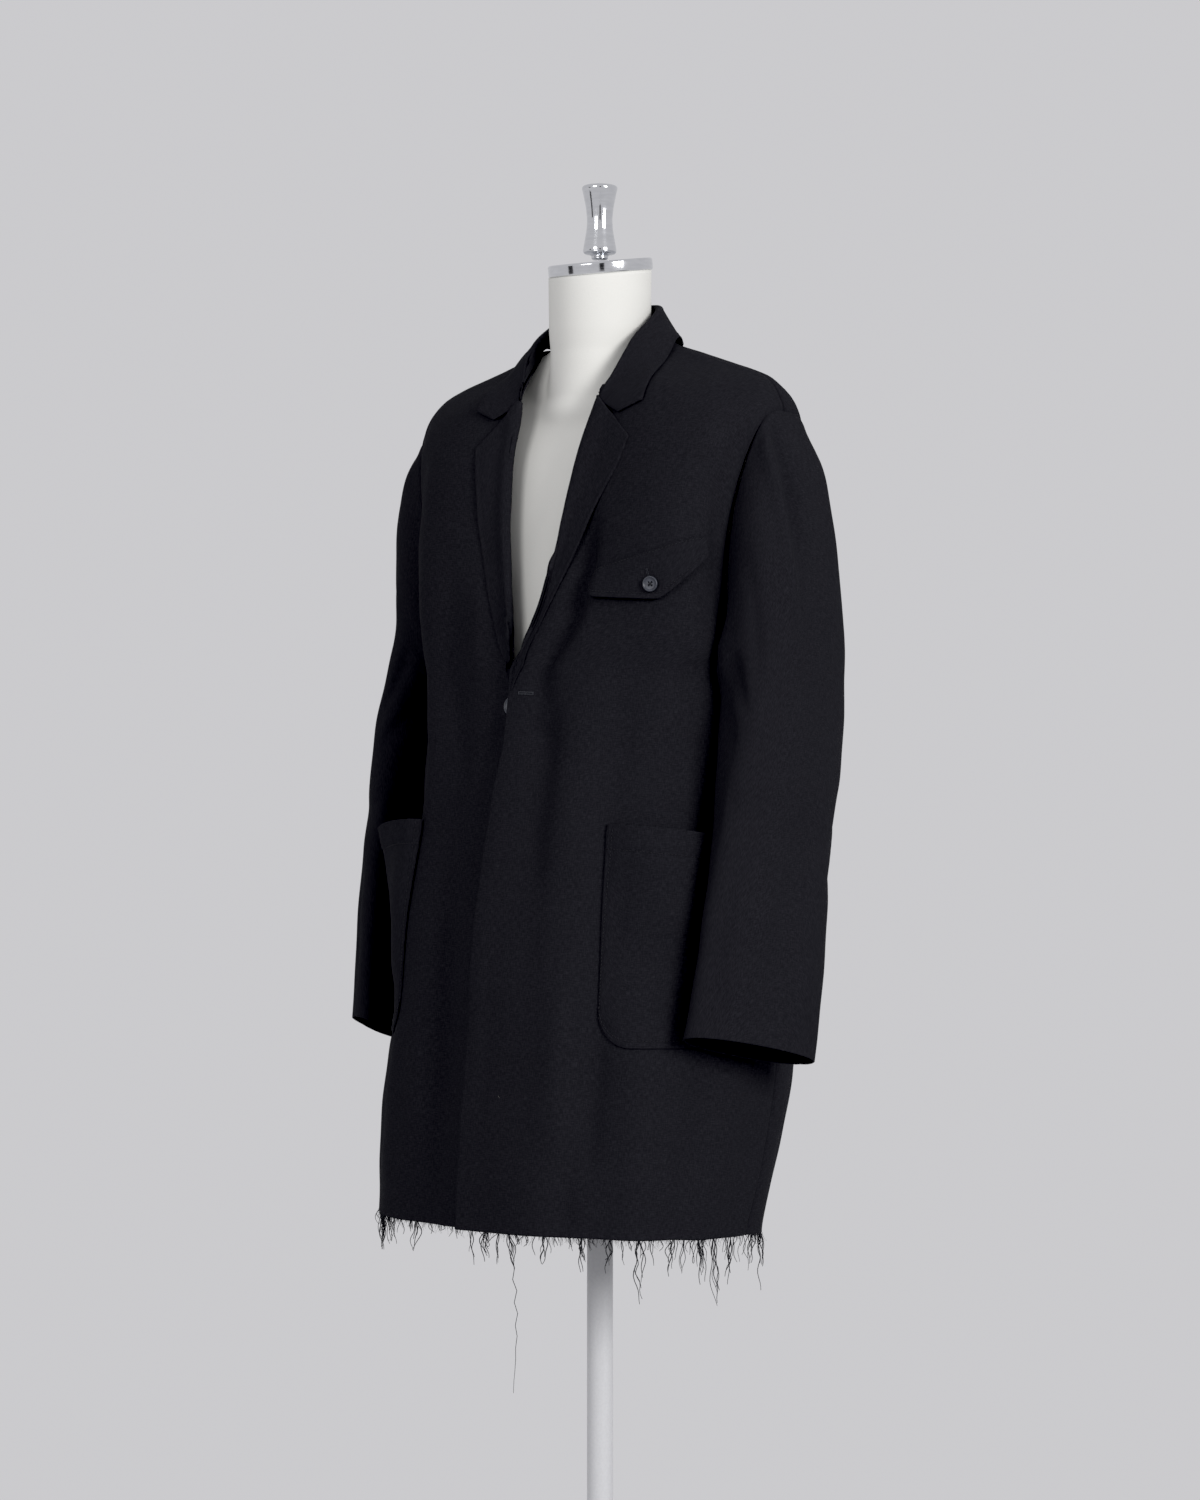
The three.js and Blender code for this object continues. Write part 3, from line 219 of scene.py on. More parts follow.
def make_floor():
    """A disc whose shader turns from pale paint to clear between two radii."""
    material, nodes, links, shader = new_material("pale_floor")
    shader.inputs["Base Color"].default_value = (0.72, 0.72, 0.735, 1)
    shader.inputs["Roughness"].default_value = 0.9
    place = add_node(nodes, "ShaderNodeTexCoord")
    length = add_node(nodes, "ShaderNodeVectorMath", operation="LENGTH")
    links.new(place.outputs["Object"], length.inputs[0])
    fade = add_node(nodes, "ShaderNodeMapRange", interpolation_type="SMOOTHSTEP")
    links.new(length.outputs["Value"], fade.inputs["Value"])
    fade.inputs["From Min"].default_value = FLOOR_FADE
    fade.inputs["From Max"].default_value = FLOOR_RADIUS
    clear = add_node(nodes, "ShaderNodeBsdfTransparent")
    mixed = add_node(nodes, "ShaderNodeMixShader")
    links.new(fade.outputs["Result"], mixed.inputs["Fac"])
    links.new(shader.outputs[0], mixed.inputs[1])
    links.new(clear.outputs[0], mixed.inputs[2])
    links.new(mixed.outputs[0], nodes["Material Output"].inputs["Surface"])
    around = np.linspace(0, 2 * np.pi, 96, endpoint=False)
    rim = np.stack([np.cos(around), np.sin(around), around * 0], -1) * FLOOR_RADIUS
    mesh = bpy.data.meshes.new("floor")
    mesh.from_pydata(rim.tolist(), [], [list(range(len(rim)))])
    mesh.materials.append(material)
    floor = bpy.data.objects.new("floor", mesh)
    scene.collection.objects.link(floor)
    return floor


floor = make_floor()

# %% Dark cards for the chrome
CARD_AIM = (0, 0, 1.5)


def make_card(name, place, width, height):
    """A dark upright card that only glossy rays see."""
    material, _, _, shader = new_material(name)
    shader.inputs["Base Color"].default_value = (0.02, 0.02, 0.022, 1)
    corners = [(x * width / 2, y * height / 2, 0) for x, y in ((-1, -1), (1, -1), (1, 1), (-1, 1))]
    mesh = bpy.data.meshes.new(name)
    mesh.from_pydata(corners, [], [(0, 1, 2, 3)])
    mesh.materials.append(material)
    card = bpy.data.objects.new(name, mesh)
    scene.collection.objects.link(card)
    aimed(card, place, CARD_AIM)
    for ray in ("camera", "diffuse", "transmission", "volume_scatter", "shadow"):
        setattr(card, f"visible_{ray}", False)
    return card


cards = [
    make_card("dark_card_front", (2.6, -3.3, 1.6), 0.75, 1.6),
    make_card("dark_card_left", (-2.4, -3.6, 1.3), 0.9, 1.2),
]
print("floor and", len(cards), "cards")

# %% [markdown]
# ## Wool
#
# The coat is woven from uneven black yarn, with a soft nap and few lights. The yarns follow the cloth, so
# the weave reads each piece's own UV map, which is in metres along and across the cut. Two noises, one
# stretched along each direction, make the uneven warp and weft. A fine wave each way makes the threads.

# %% Wool material
THREAD_PITCH = 0.0011
WOOL_DARK = (0.0147, 0.0145, 0.0173)
WOOL_LIGHT = (0.0295, 0.0291, 0.0347)


def make_wool(name):
    """Black woven wool: slubby yarns in warp and weft, a light nap and a matt sheen."""
    material, nodes, links, shader = new_material(name)
    uv = add_node(nodes, "ShaderNodeUVMap", uv_map="cloth").outputs["UV"]
    per_thread = 1 / THREAD_PITCH
    warp = noise_on(nodes, links, uv, (per_thread * 1.3, per_thread * 0.2, 1), 1.0, 1.0)
    weft = noise_on(nodes, links, uv, (per_thread * 0.2, per_thread * 1.3, 1), 1.0, 1.0)
    mottle = noise_on(nodes, links, uv, (1, 1, 1), 60.0, 2.0)
    flecks = noise_on(nodes, links, uv, (1, 1, 1), 1500.0, 0.0)
    yarn = blend(nodes, links, warp, weft, "ADD")
    mixed = blend(nodes, links, blend(nodes, links, yarn, 0.34, "MULTIPLY"),
                  blend(nodes, links, mottle, 0.04, "MULTIPLY"))
    mixed = blend(nodes, links, mixed, blend(nodes, links, flecks, 0.14, "MULTIPLY"))
    middle = tuple((a + b) / 2 for a, b in zip(WOOL_DARK, WOOL_LIGHT))
    colour = ramp(nodes, links, mixed, [(0.37, WOOL_DARK), (0.5, middle), (0.66, WOOL_LIGHT)])
    links.new(colour, shader.inputs["Base Color"])
    waves = []
    for direction in ("X", "Y"):
        mapping = add_node(nodes, "ShaderNodeMapping", Scale=(per_thread, per_thread, 1))
        wave = add_node(nodes, "ShaderNodeTexWave", bands_direction=direction, Scale=0.314, Distortion=1.2)
        wave.inputs["Detail"].default_value = 1.0
        wave.inputs["Detail Scale"].default_value = 0.8
        links.new(uv, mapping.inputs["Vector"])
        links.new(mapping.outputs["Vector"], wave.inputs["Vector"])
        waves.append(wave.outputs["Fac"])
    height = blend(nodes, links, blend(nodes, links, *waves, "MULTIPLY"), yarn)
    join_bump(nodes, links, shader, height, 0.5, 0.0006)
    shader.inputs["Roughness"].default_value = 0.92
    shader.inputs["Specular IOR Level"].default_value = 0.04
    shader.inputs["Sheen Weight"].default_value = 0.012
    shader.inputs["Sheen Roughness"].default_value = 0.45
    shader.inputs["Sheen Tint"].default_value = (0.7, 0.72, 0.8, 1)
    return material


wool = make_wool("black_wool")


def make_thread(name, colour, roughness):
    """Spun thread: two twisted tones and a soft shine."""
    material, nodes, links, shader = new_material(name)
    place = add_node(nodes, "ShaderNodeTexCoord").outputs["Object"]
    twist = noise_on(nodes, links, place, (1, 1, 3), 900.0, 2.0)
    colours = [(0.35, tuple(c * 0.6 for c in colour)), (0.65, tuple(c * 1.5 for c in colour))]
    links.new(ramp(nodes, links, twist, colours), shader.inputs["Base Color"])
    join_bump(nodes, links, shader, twist, 0.3, 0.0002)
    shader.inputs["Roughness"].default_value = roughness
    shader.inputs["Specular IOR Level"].default_value = 0.3
    return material


frayed_thread = make_thread("frayed_thread", (0.014, 0.014, 0.018), 0.8)
sewing_thread = make_thread("sewing_thread", (0.012, 0.012, 0.015), 0.6)
buttonhole_thread = make_thread("buttonhole_thread", (0.05, 0.052, 0.062), 0.5)
lint_fibre = make_thread("lint_fibre", (0.16, 0.16, 0.15), 0.9)
print("wool:", wool.name)

# %% [markdown]
# ## Tables and smooth curves
#
# A maker drafts a coat from a few measures at a few heights. The same is done here: short tables hold the
# coat's sizes in millimetres, and a cubic through their rows gives every size in between. These are the
# sizes that the CAD model was built from, so the finer cloth lands on its solids.

# %% Table reader
def table(names, rows):
    """A dictionary with one array for each named column."""
    values = np.array(rows, dtype=float)
    return {name: values[:, i] for i, name in enumerate(names.split())}


def read(rows, key, name, at):
    """The cubic Hermite curve through a table's column. A row's slope is taken from the rows on either
    side of it: (next - previous) / (key of next - key of previous)."""
    x, y = rows[key], rows[name]
    k = np.arange(len(x))
    before, after = np.maximum(k - 1, 0), np.minimum(k + 1, len(x) - 1)
    slope = (y[after] - y[before]) / (x[after] - x[before])
    at = np.clip(at, x[0], x[-1])
    i = np.clip(np.searchsorted(x, at) - 1, 0, len(x) - 2)
    span = x[i + 1] - x[i]
    t = (at - x[i]) / span
    return (
        (2 * t**3 - 3 * t**2 + 1) * y[i]
        + (t**3 - 2 * t**2 + t) * span * slope[i]
        + (3 * t**2 - 2 * t**3) * y[i + 1]
        + (t**3 - t**2) * span * slope[i + 1]
    )


def mix(a, b, t):
    return a + (b - a) * t


def smoothstep(t):
    t = np.clip(t, 0, 1)
    return t * t * (3 - 2 * t)


def dome(t):
    return np.sin(np.pi * np.clip(t, 0, 1))


def signed_power(value, power):
    return np.sign(value) * np.abs(value) ** power


def bell(at, centre, width):
    """One at its centre, and fading to nothing on both sides."""
    return np.exp(-(((at - centre) / width) ** 2))


# %% Sizes of the coat, in millimetres
CLOTH = 2.0
SEAM = 0.35
HEM_Z = 585
UNDERARM_Z = 1130
UNDERARM_V = 0.62
OVERLAP = 9
NECK = (75, 10, 1456)
BACK_NECK = (0, 64, 1462)
NECK_SHARE = 0.4
TIP = {1: (214, 8, 1378), -1: (209, 10, 1373)}

BODY = table("z half front seam back square back_square", [
    (585, 190, -206, -24, 78, 3, 2.4), (660, 198, -198, -4, 108, 3, 2.4),
    (760, 201, -184, 16, 134, 2.9, 2.4), (860, 195, -168, 24, 146, 2.8, 2.4),
    (960, 186, -151, 24, 146, 2.8, 2.4), (1050, 180, -132, 18, 140, 2.8, 2.35),
    (1130, 177, -118, 14, 136, 2.8, 2.3),
])
FREE_EDGE = {
    1: table("z past", [(585, 20), (760, 23), (900, 27), (1000, 23), (1060, 18), (1130, 20)]),
    -1: table("z past", [(585, 26), (960, 26), (1030, 22), (1085, 2), (1130, -19)]),
}
HEM_LIFT = {"edge": 8, "side": {1: -2, -1: 10}, "back": -10}
ROLL = {
    1: table("w x y z", [
        (0, -20, -118, 1130), (0.1, -2, -111, 1161), (0.2, 10, -104, 1192), (0.45, 23, -94, 1269),
        (0.65, 33, -83, 1331), (0.8, 43, -72, 1376), (0.9, 55, -56, 1412), (1, *NECK),
    ]),
    -1: table("w x y z", [
        (0, 23, -116, 1130), (0.2, 32, -104, 1192), (0.45, 43, -94, 1269), (0.65, 48, -83, 1331),
        (0.8, 48, -72, 1376), (0.9, 53, -56, 1412), (1, *NECK),
    ]),
}
SPINE = table("w y z", [
    (0, 136, 1130), (0.35, 134, 1250), (0.65, 120, 1350), (0.88, 88, 1430), (1, 64, 1462),
])
CHEST = table("w front back square back_square", [
    (0, 0, 0, 2.8, 2.3), (0.35, 13, 4, 2.5, 2.2), (0.7, 14, 3, 1.9, 1.8), (1, 0, 0, 1.2, 1.2),
])
FOLD_COLUMNS = "u width depth start end"
FOLDS = {
    1: table(FOLD_COLUMNS, [
        (0.16, 0.09, 4, 0.6, 0), (0.33, 0.07, -5, 0.62, 0.05), (0.52, 0.08, 5, 0.34, 0),
        (0.7, 0.07, -7, 0.5, 0), (0.86, 0.07, 6, 0.3, 0), (0.83, 0.08, -6, 0.8, 0.45),
    ]),
    -1: table(FOLD_COLUMNS, [
        (0.2, 0.1, -7, 0.62, 0), (0.44, 0.08, 7, 0.7, 0.05), (0.62, 0.08, -6, 0.5, 0.1),
        (0.84, 0.08, 6, 0.3, 0),
    ]),
    0: table(FOLD_COLUMNS, [
        (-0.78, 0.09, 7, 0.6, 0), (-0.46, 0.1, -6, 0.5, 0), (-0.12, 0.1, 5, 0.4, 0),
        (0.22, 0.09, -6, 0.55, 0), (0.5, 0.1, 6, 0.45, 0), (0.8, 0.08, -6, 0.6, 0),
    ]),
}

# %% Sizes of the sleeves
SLEEVE_COLUMNS = "j out_x out_z in_x in_z y depth skew turn bow edge drop"
SLEEVE_ROWS = [
    (0, 214, 1378, 177, 1130, 11, 58, -3, 0, -12, 0.55, 0),
    (0.1, 231, 1332, 181, 1122, 10, 70, -2, 0, -5, 0.6, 0),
    (0.22, 242, 1264, 184, 1110, 10, 77, 0, 0, 0, 0.72, 0),
    (0.36, 250, 1180, 186, 1086, 12, 81, 0, 1, 0, 0.85, 0),
    (0.5, 251, 1090, 188, 1042, 4, 84, 0, 3, 0, 0.92, 0),
    (0.66, 252, 985, 192, 958, -22, 79, 0, 11, 0, 0.95, 2),
    (0.83, 252, 876, 199, 860, -52, 73, 0, 20, 0, 0.95, 6),
    (1, 248, 772, 201, 758, -75, 69, 0, 28, 0, 0.95, 14),
]
SLEEVE = {1: table(SLEEVE_COLUMNS, SLEEVE_ROWS), -1: table(SLEEVE_COLUMNS, SLEEVE_ROWS)}
SLEEVE[-1]["out_x"] += np.array([-5, -3, -3, 0, 4, 13, 19, 22])
SLEEVE[-1]["in_x"] += np.array([0, 0, 0, 0, 4, 13, 19, 22])
SLEEVE[-1]["y"] += np.array([2, 9, 17, 18, 12, 16, 25, 28])
SLEEVE[-1]["out_z"][0] = TIP[-1][2]
SLEEVE_SEAM = {"front": 0.24, "back": 0.36}
SLEEVE_GAP = 0.004


def sleeve_points(side, angle, j):
    """A sleeve's surface. Section j is a ring: at angle 0 it is outermost and at a quarter turn it is at
    the back, where the sine is taken to a power so that the ring fills out towards a rounded box. The
    ring is turned about the vertical, so that the forearm swings forwards."""
    rows = SLEEVE[side]
    angle, j = np.broadcast_arrays(angle, j)
    value = {name: read(rows, "j", name, j) for name in SLEEVE_COLUMNS.split()[1:]}
    s = np.cos(angle)
    k = (s + 1) / 2
    back = signed_power(np.sin(angle), value["edge"])
    dx = (value["out_x"] - value["in_x"]) * (k - 0.5) + value["bow"] * (1 - s * s)
    dy = value["skew"] * s + value["depth"] * back
    turn = np.radians(value["turn"])
    x = (value["out_x"] + value["in_x"]) / 2 + dx * np.cos(turn) + dy * np.sin(turn)
    y = value["y"] - dx * np.sin(turn) + dy * np.cos(turn)
    z = mix(value["in_z"], value["out_z"], k) - value["drop"] * back
    return np.stack([side * x, y, z], -1)


def armhole(side, half, w):
    """The armhole from the underarm (0) to the shoulder's end (1), round the front (-1) or back (1)."""
    return sleeve_points(side, half * np.pi * (1 - w), 0.0)


def shoulder_seam(side, u):
    """From the neck (0) to the shoulder's end (1): straight, and rounding over at its end."""
    x, y, z = TIP[side]
    drop = 0.6 * u + 0.4 * u**14
    return mix(NECK[0], x, u), mix(NECK[1], y, u), mix(NECK[2], z, drop)


def quarter(start, end, square, u):
    """A row of a panel as a quarter of a superellipse seen from above: across goes as the sine and along
    as one less the cosine of a quarter turn, both to the power 2 / square."""
    angle = np.pi / 2 * u
    across = np.sin(angle) ** (2 / square)
    along = 1 - np.maximum(np.cos(angle), 0) ** (2 / square)
    return [mix(start[0], end[0], across), mix(start[1], end[1], along), mix(start[2], end[2], u)]


def fold_depth(folds, u, v):
    """The sum of the big folds: a bell across each, growing down the panel."""
    total = np.zeros(np.broadcast(u, v).shape)
    for at, width, depth, start, end in zip(*(folds[name] for name in FOLD_COLUMNS.split())):
        run = np.clip((start - v) / (start - end), 0, 1)
        grow = dome(run) if end > 0 else run
        total = total + depth * bell(u, at, width) * grow
    return total


# %% [markdown]
# ## Panels of the body
#
# The body is cut as two fronts and one back. Every row of a panel is a quarter of a rounded square, from
# the free edge or the centre back round to the side seam or the armhole. Two formulas meet at the
# underarm, so the rows near it are softened afterwards, and no line shows.

# %% Front and back surfaces
def front_points(side, u, v):
    """A front: u from the free edge (0) to the side seam and armhole (1), v from the hem to the shoulder."""
    u, v = np.broadcast_arrays(np.asarray(u, float), np.asarray(v, float))
    lift = mix(HEM_LIFT["edge"], HEM_LIFT["side"][side], u * u)
    z = mix(HEM_Z + lift, UNDERARM_Z, v / UNDERARM_V)
    start = (-read(FREE_EDGE[side], "z", "past", z), read(BODY, "z", "front", z), z)
    end = (read(BODY, "z", "half", z), read(BODY, "z", "seam", z), z)
    lower = quarter(start, end, read(BODY, "z", "square", z), u)
    w = np.clip((v - UNDERARM_V) / (1 - UNDERARM_V), 0, 1)
    start = tuple(read(ROLL[side], "w", name, w) for name in "xyz")
    hole = armhole(side, -1, w)
    end = (side * hole[..., 0], hole[..., 1], hole[..., 2])
    upper = quarter(start, end, read(CHEST, "w", "square", w), u)
    upper[1] = upper[1] - read(CHEST, "w", "front", w) * dome(u)
    plain = quarter(NECK, TIP[side], CHEST["square"][-1], u)
    seam = shoulder_seam(side, u)
    upper = [p + (s - q) * w**4 for p, q, s in zip(upper, plain, seam)]
    x, y, z = (np.where(v <= UNDERARM_V, a, b) for a, b in zip(lower, upper))
    folds = fold_depth(FOLDS[side], u, v)
    y = y - folds * np.cos(np.pi / 2 * u * 0.6)
    x = x + folds * np.sin(np.pi / 2 * u * 0.6) * (1 - u)
    if side > 0:
        lap = np.maximum(1 - u / 0.42, 0)
        y = y - OVERLAP * smoothstep(lap) * (1 - smoothstep((v - 0.66) / 0.14))
    return np.stack([side * x, y, z], -1)


def back_half(side, across, v):
    """One half of the back, from its centre (0) to the side seam (1)."""
    lift = mix(HEM_LIFT["back"], HEM_LIFT["side"][side], across**2)
    z = mix(HEM_Z + lift, UNDERARM_Z, v / UNDERARM_V)
    start = (0 * z, read(BODY, "z", "back", z), z)
    end = (read(BODY, "z", "half", z), read(BODY, "z", "seam", z), z)
    lower = quarter(start, end, read(BODY, "z", "back_square", z), across)
    w = np.clip((v - UNDERARM_V) / (1 - UNDERARM_V), 0, 1)
    start = (0 * w, read(SPINE, "w", "y", w), read(SPINE, "w", "z", w))
    hole = armhole(side, 1, w)
    end = (side * hole[..., 0], hole[..., 1], hole[..., 2])
    upper = quarter(start, end, read(CHEST, "w", "back_square", w), across)
    upper[1] = upper[1] + read(CHEST, "w", "back", w) * dome(across)
    plain = quarter(BACK_NECK, TIP[side], CHEST["back_square"][-1], across)
    upper = [p + (t - q) * w**4 for p, q, t in zip(upper, plain, back_top(side, across))]
    return [np.where(v <= UNDERARM_V, a, b) for a, b in zip(lower, upper)]


def back_top(side, across):
    """The back's top edge: the neckline as a quarter ellipse, and then the shoulder seam."""
    seam = shoulder_seam(side, np.clip((across - NECK_SHARE) / (1 - NECK_SHARE), 0, 1))
    angle = np.pi / 2 * np.clip(across / NECK_SHARE, 0, 1)
    line = (
        NECK[0] * np.sin(angle),
        mix(NECK[1], BACK_NECK[1], np.cos(angle)),
        mix(BACK_NECK[2], NECK[2], np.clip(across / NECK_SHARE, 0, 1)),
    )
    return [np.where(across > NECK_SHARE, a, b) for a, b in zip(seam, line)]


def back_points(u, v):
    """The back: u from the right side seam (-1) to the left one (1), v from the hem to the neckline."""
    u, v = np.broadcast_arrays(np.asarray(u, float), np.asarray(v, float))
    across = np.abs(u)
    x, y, z = (np.where(u < 0, a, b) for a, b in zip(back_half(-1, across, v), back_half(1, across, v)))
    y = y + fold_depth(FOLDS[0], u, v) * (1 - across**4)
    return np.stack([np.where(u < 0, -x, x), y, z], -1)


print("left front's hem at the free edge:", front_points(1, 0.0, 0.0).round(1))

# %% [markdown]
# ## Creases
#
# Worn wool has no sharp folds. It has soft troughs and ridges, no two alike: some start at a button or a
# seam and fade down the cloth. Each one here is a row in a table: where it starts and ends, how far it
# bows sideways, how wide it is and how deep. One flank is steeper than the other. A slow ripple over
# everything keeps the cloth between them from looking ironed.

# %% Creases and ripples
CREASE_COLUMNS = "s1 h1 s2 h2 bow width depth"


def crease_depth(rows, s, h):
    """The sum of the creases at a distance s along the cloth and a height h, both in millimetres. Each is
    a bell across a line that bows like a parabola, and fades at both ends. A trough's depth is negative."""
    total = np.zeros_like(s)
    for s1, h1, s2, h2, bow, width, depth in zip(*(rows[name] for name in CREASE_COLUMNS.split())):
        length = math.hypot(s2 - s1, h2 - h1)
        along = ((s - s1) * (s2 - s1) + (h - h1) * (h2 - h1)) / length**2
        beside = ((s - s1) * (h2 - h1) - (h - h1) * (s2 - s1)) / length
        beside = beside - bow * 4 * along * (1 - along)
        flank = width * np.where(beside > 0, 1.25, 0.8)
        fade = smoothstep((along + 0.05) / 0.35) * smoothstep((1.05 - along) / 0.45)
        total += depth * bell(beside, 0, flank) * fade
    return total


def ripple(points, seed, waves):
    """A slow unevenness: for each (wavelength, depth), a few sine waves in seeded directions, added up. It
    depends only on the place in space, so that it agrees on both sides of a seam."""
    random = np.random.default_rng(seed)
    total = np.zeros(points.shape[:-1])
    for wavelength, depth in waves:
        for _ in range(6):
            direction = random.normal(size=3) * (1, 1, 0.55)
            direction *= 2 * np.pi / wavelength / np.linalg.norm(direction)
            total += depth / 2.4 * np.sin(points @ direction + random.uniform(0, 2 * np.pi))
    return total


CLOTH_RIPPLE = [(150, 1.5), (62, 0.55), (27, 0.16)]
RIPPLE_SEED = 3
CREASES = {
    "coat_front_left": table(CREASE_COLUMNS, [
        (38, 1285, 37, 1085, -3, 12, -13), (40, 1130, 60, 880, -5, 19, -8), (92, 1160, 96, 900, 6, 30, 3.5),
        (104, 830, 110, 640, 3, 15, 5), (139, 800, 134, 610, -4, 13, -4.5), (120, 680, 124, 575, 3, 13, -3.5),
        (190, 790, 196, 600, 5, 20, 3), (250, 780, 238, 590, -6, 15, -4), (292, 770, 300, 600, 4, 14, 3),
        (20, 1085, 60, 1060, 3, 10, -1.8), (14, 1040, 16, 640, 4, 10, 1.6),
        (150, 1340, 190, 1230, 8, 16, -3.5), (120, 1380, 160, 1290, -6, 20, 2.2),
        (200, 1150, 215, 1010, 6, 14, -3), (60, 900, 88, 780, 5, 18, -2.2),
    ]),
    "coat_front_right": table(CREASE_COLUMNS, [
        (60, 1240, 112, 930, -6, 17, -5), (110, 960, 84, 600, 5, 20, -6), (100, 1270, 150, 960, -5, 18, 4),
        (40, 1220, 50, 1100, 4, 12, 2.6), (140, 900, 130, 610, 5, 16, 3.5), (190, 850, 200, 600, -6, 18, -4),
        (250, 800, 244, 600, 4, 16, 4), (24, 1080, 66, 1050, 3, 11, -2), (120, 1360, 160, 1250, 7, 16, -3.2),
        (290, 780, 300, 600, -4, 14, -3), (50, 800, 44, 610, 3, 14, 2.4), (150, 1150, 170, 1000, 5, 14, -2.4),
    ]),
    "coat_back": table(CREASE_COLUMNS, [
        (-150, 1330, -196, 1180, 8, 18, -5), (152, 1335, 200, 1190, -8, 17, -5.5),
        (-60, 1420, -104, 1290, 6, 22, -2.4), (70, 1415, 118, 1300, -5, 20, -2.6),
        (-120, 1120, -132, 640, 10, 24, -5), (-30, 1050, -22, 620, -8, 26, 4.5),
        (66, 1100, 84, 650, 8, 22, -5), (150, 1080, 168, 640, -6, 20, 5),
        (-190, 1000, -204, 620, 5, 18, 4.5), (-84, 820, -78, 600, 4, 16, 3.2),
        (24, 790, 40, 600, -5, 15, -3.4), (214, 900, 224, 600, 6, 15, -4),
        (-250, 860, -258, 600, 4, 14, -3.6), (110, 760, 118, 590, 3, 13, 3),
        (-160, 1180, 90, 1150, 12, 20, -2),
    ]),
    "sleeve_left": table(CREASE_COLUMNS, [
        (-33, 1394, -32, 1150, 3, 8, 7), (-16, 1392, -18, 1210, -3, 10, -9),
        (-58, 1280, -18, 1120, 6, 15, 2.4), (30, 1366, 26, 1180, -4, 16, 3),
        (-94, 1250, -70, 1090, 5, 12, -2.8), (-150, 1150, -84, 1080, 6, 12, -3.8),
        (-170, 1120, -96, 1040, 5, 13, -3), (-66, 960, -58, 790, 4, 12, -2.2),
        (-20, 930, -26, 790, -4, 13, 2), (18, 1010, 8, 800, 5, 15, -2),
        (-110, 1010, -40, 985, 6, 12, -1.7), (60, 1230, 84, 1060, -6, 15, -4),
        (110, 1180, 150, 1080, 6, 13, -4.5), (96, 1010, 60, 940, -5, 13, -3),
        (120, 960, 70, 900, 5, 12, -2.6), (44, 860, 52, 780, 3, 11, 1.8),
    ]),
    "sleeve_right": table(CREASE_COLUMNS, [
        (-34, 1366, -40, 1190, -5, 14, 3.4), (14, 1362, 6, 1210, 5, 13, -4.6),
        (-70, 1260, -36, 1130, 6, 14, -2.6), (-140, 1160, -80, 1070, -6, 12, -4),
        (-168, 1110, -90, 1050, 5, 12, -3), (-60, 950, -66, 790, 4, 13, -2.4),
        (-10, 940, -4, 800, -4, 12, 2), (-120, 1000, -44, 990, 6, 12, -2), (70, 1220, 90, 1050, -6, 15, -4),
        (106, 1190, 146, 1090, 6, 12, -4.2), (90, 1000, 56, 950, -5, 13, -3), (40, 880, 46, 780, 3, 11, 2),
    ]),
}
print("creases:", {name: len(rows["depth"]) for name, rows in CREASES.items()})


# %% [markdown]
# ## From a grid of points to cloth
#
# Every cloth piece is made the same way. A grid of points is its outer face. The inner face is the same
# grid moved in by the cloth's thickness. A rounded rim joins the two, so an edge looks folded over and
# soft. The UV map holds the real distances along and across, so the weave has one scale everywhere.

# %% Grids, arc lengths and meshes
NEAR_EDGE = np.array([0, 0.9, 2.1, 3.8, 6.2])
TUCK_OUT, TUCK_IN = 2.6, 2.3
GRID_STEP = 4.6
shares = np.linspace(0, 1, 600)


def lengths(points, axis):
    """Distance along the grid lines of one axis, from its first line."""
    steps = np.linalg.norm(np.diff(points, axis=axis), axis=-1)
    pad = [(0, 0)] * steps.ndim
    pad[axis] = (1, 0)
    return np.pad(np.cumsum(steps, axis=axis), pad)


def spaced(path, step=GRID_STEP):
    """Shares of a parameter that put grid lines at even distances along a path of (share, points), and
    closer together within a few millimetres of both ends."""
    share, points = path
    run = lengths(points, 0)
    total = run[-1]
    count = max(int((total - 2 * NEAR_EDGE[-1]) / step), 2)
    middle = np.linspace(NEAR_EDGE[-1], total - NEAR_EDGE[-1], count + 1)[1:-1]
    return np.interp(np.concatenate([NEAR_EDGE, middle, total - NEAR_EDGE[::-1]]), run, share)


def straight(length):
    """A straight path of (share, points) with a length in millimetres."""
    return shares, np.stack([shares * length, 0 * shares], -1)


def normals_of(points, flip):
    """The cross product of the grid's two directions, at length one."""
    cross = np.cross(np.gradient(points, axis=1), np.gradient(points, axis=0)) * flip
    return cross / np.maximum(np.linalg.norm(cross, axis=-1, keepdims=True), 1e-9)


def new_piece(name, points, faces, material, uv=None):
    """A mesh object from points in millimetres and arrays of triangles or quads."""
    corners = np.concatenate([f.ravel() for f in faces]).astype(np.int32)
    sizes = np.concatenate([np.full(len(f), f.shape[1]) for f in faces])
    mesh = bpy.data.meshes.new(name)
    mesh.vertices.add(len(points))
    mesh.vertices.foreach_set("co", (np.asarray(points) * MM).ravel().astype(np.float32))
    mesh.loops.add(len(corners))
    mesh.loops.foreach_set("vertex_index", corners)
    mesh.polygons.add(len(sizes))
    mesh.polygons.foreach_set("loop_start", (np.cumsum(sizes) - sizes).astype(np.int32))
    mesh.polygons.foreach_set("use_smooth", np.full(len(sizes), True))
    mesh.update(calc_edges=True)
    if uv is not None:
        mesh.uv_layers.new(name="cloth").data.foreach_set("uv", uv[corners].ravel().astype(np.float32))
    mesh.validate()
    mesh.materials.append(material)
    piece = bpy.data.objects.new(name, mesh)
    scene.collection.objects.link(piece)
    return piece


def grid_faces(index):
    """Quads of a grid of point numbers, each corner's number in turn round the quad."""
    return np.stack([index[:-1, :-1], index[:-1, 1:], index[1:, 1:], index[1:, :-1]], -1).reshape(-1, 4)


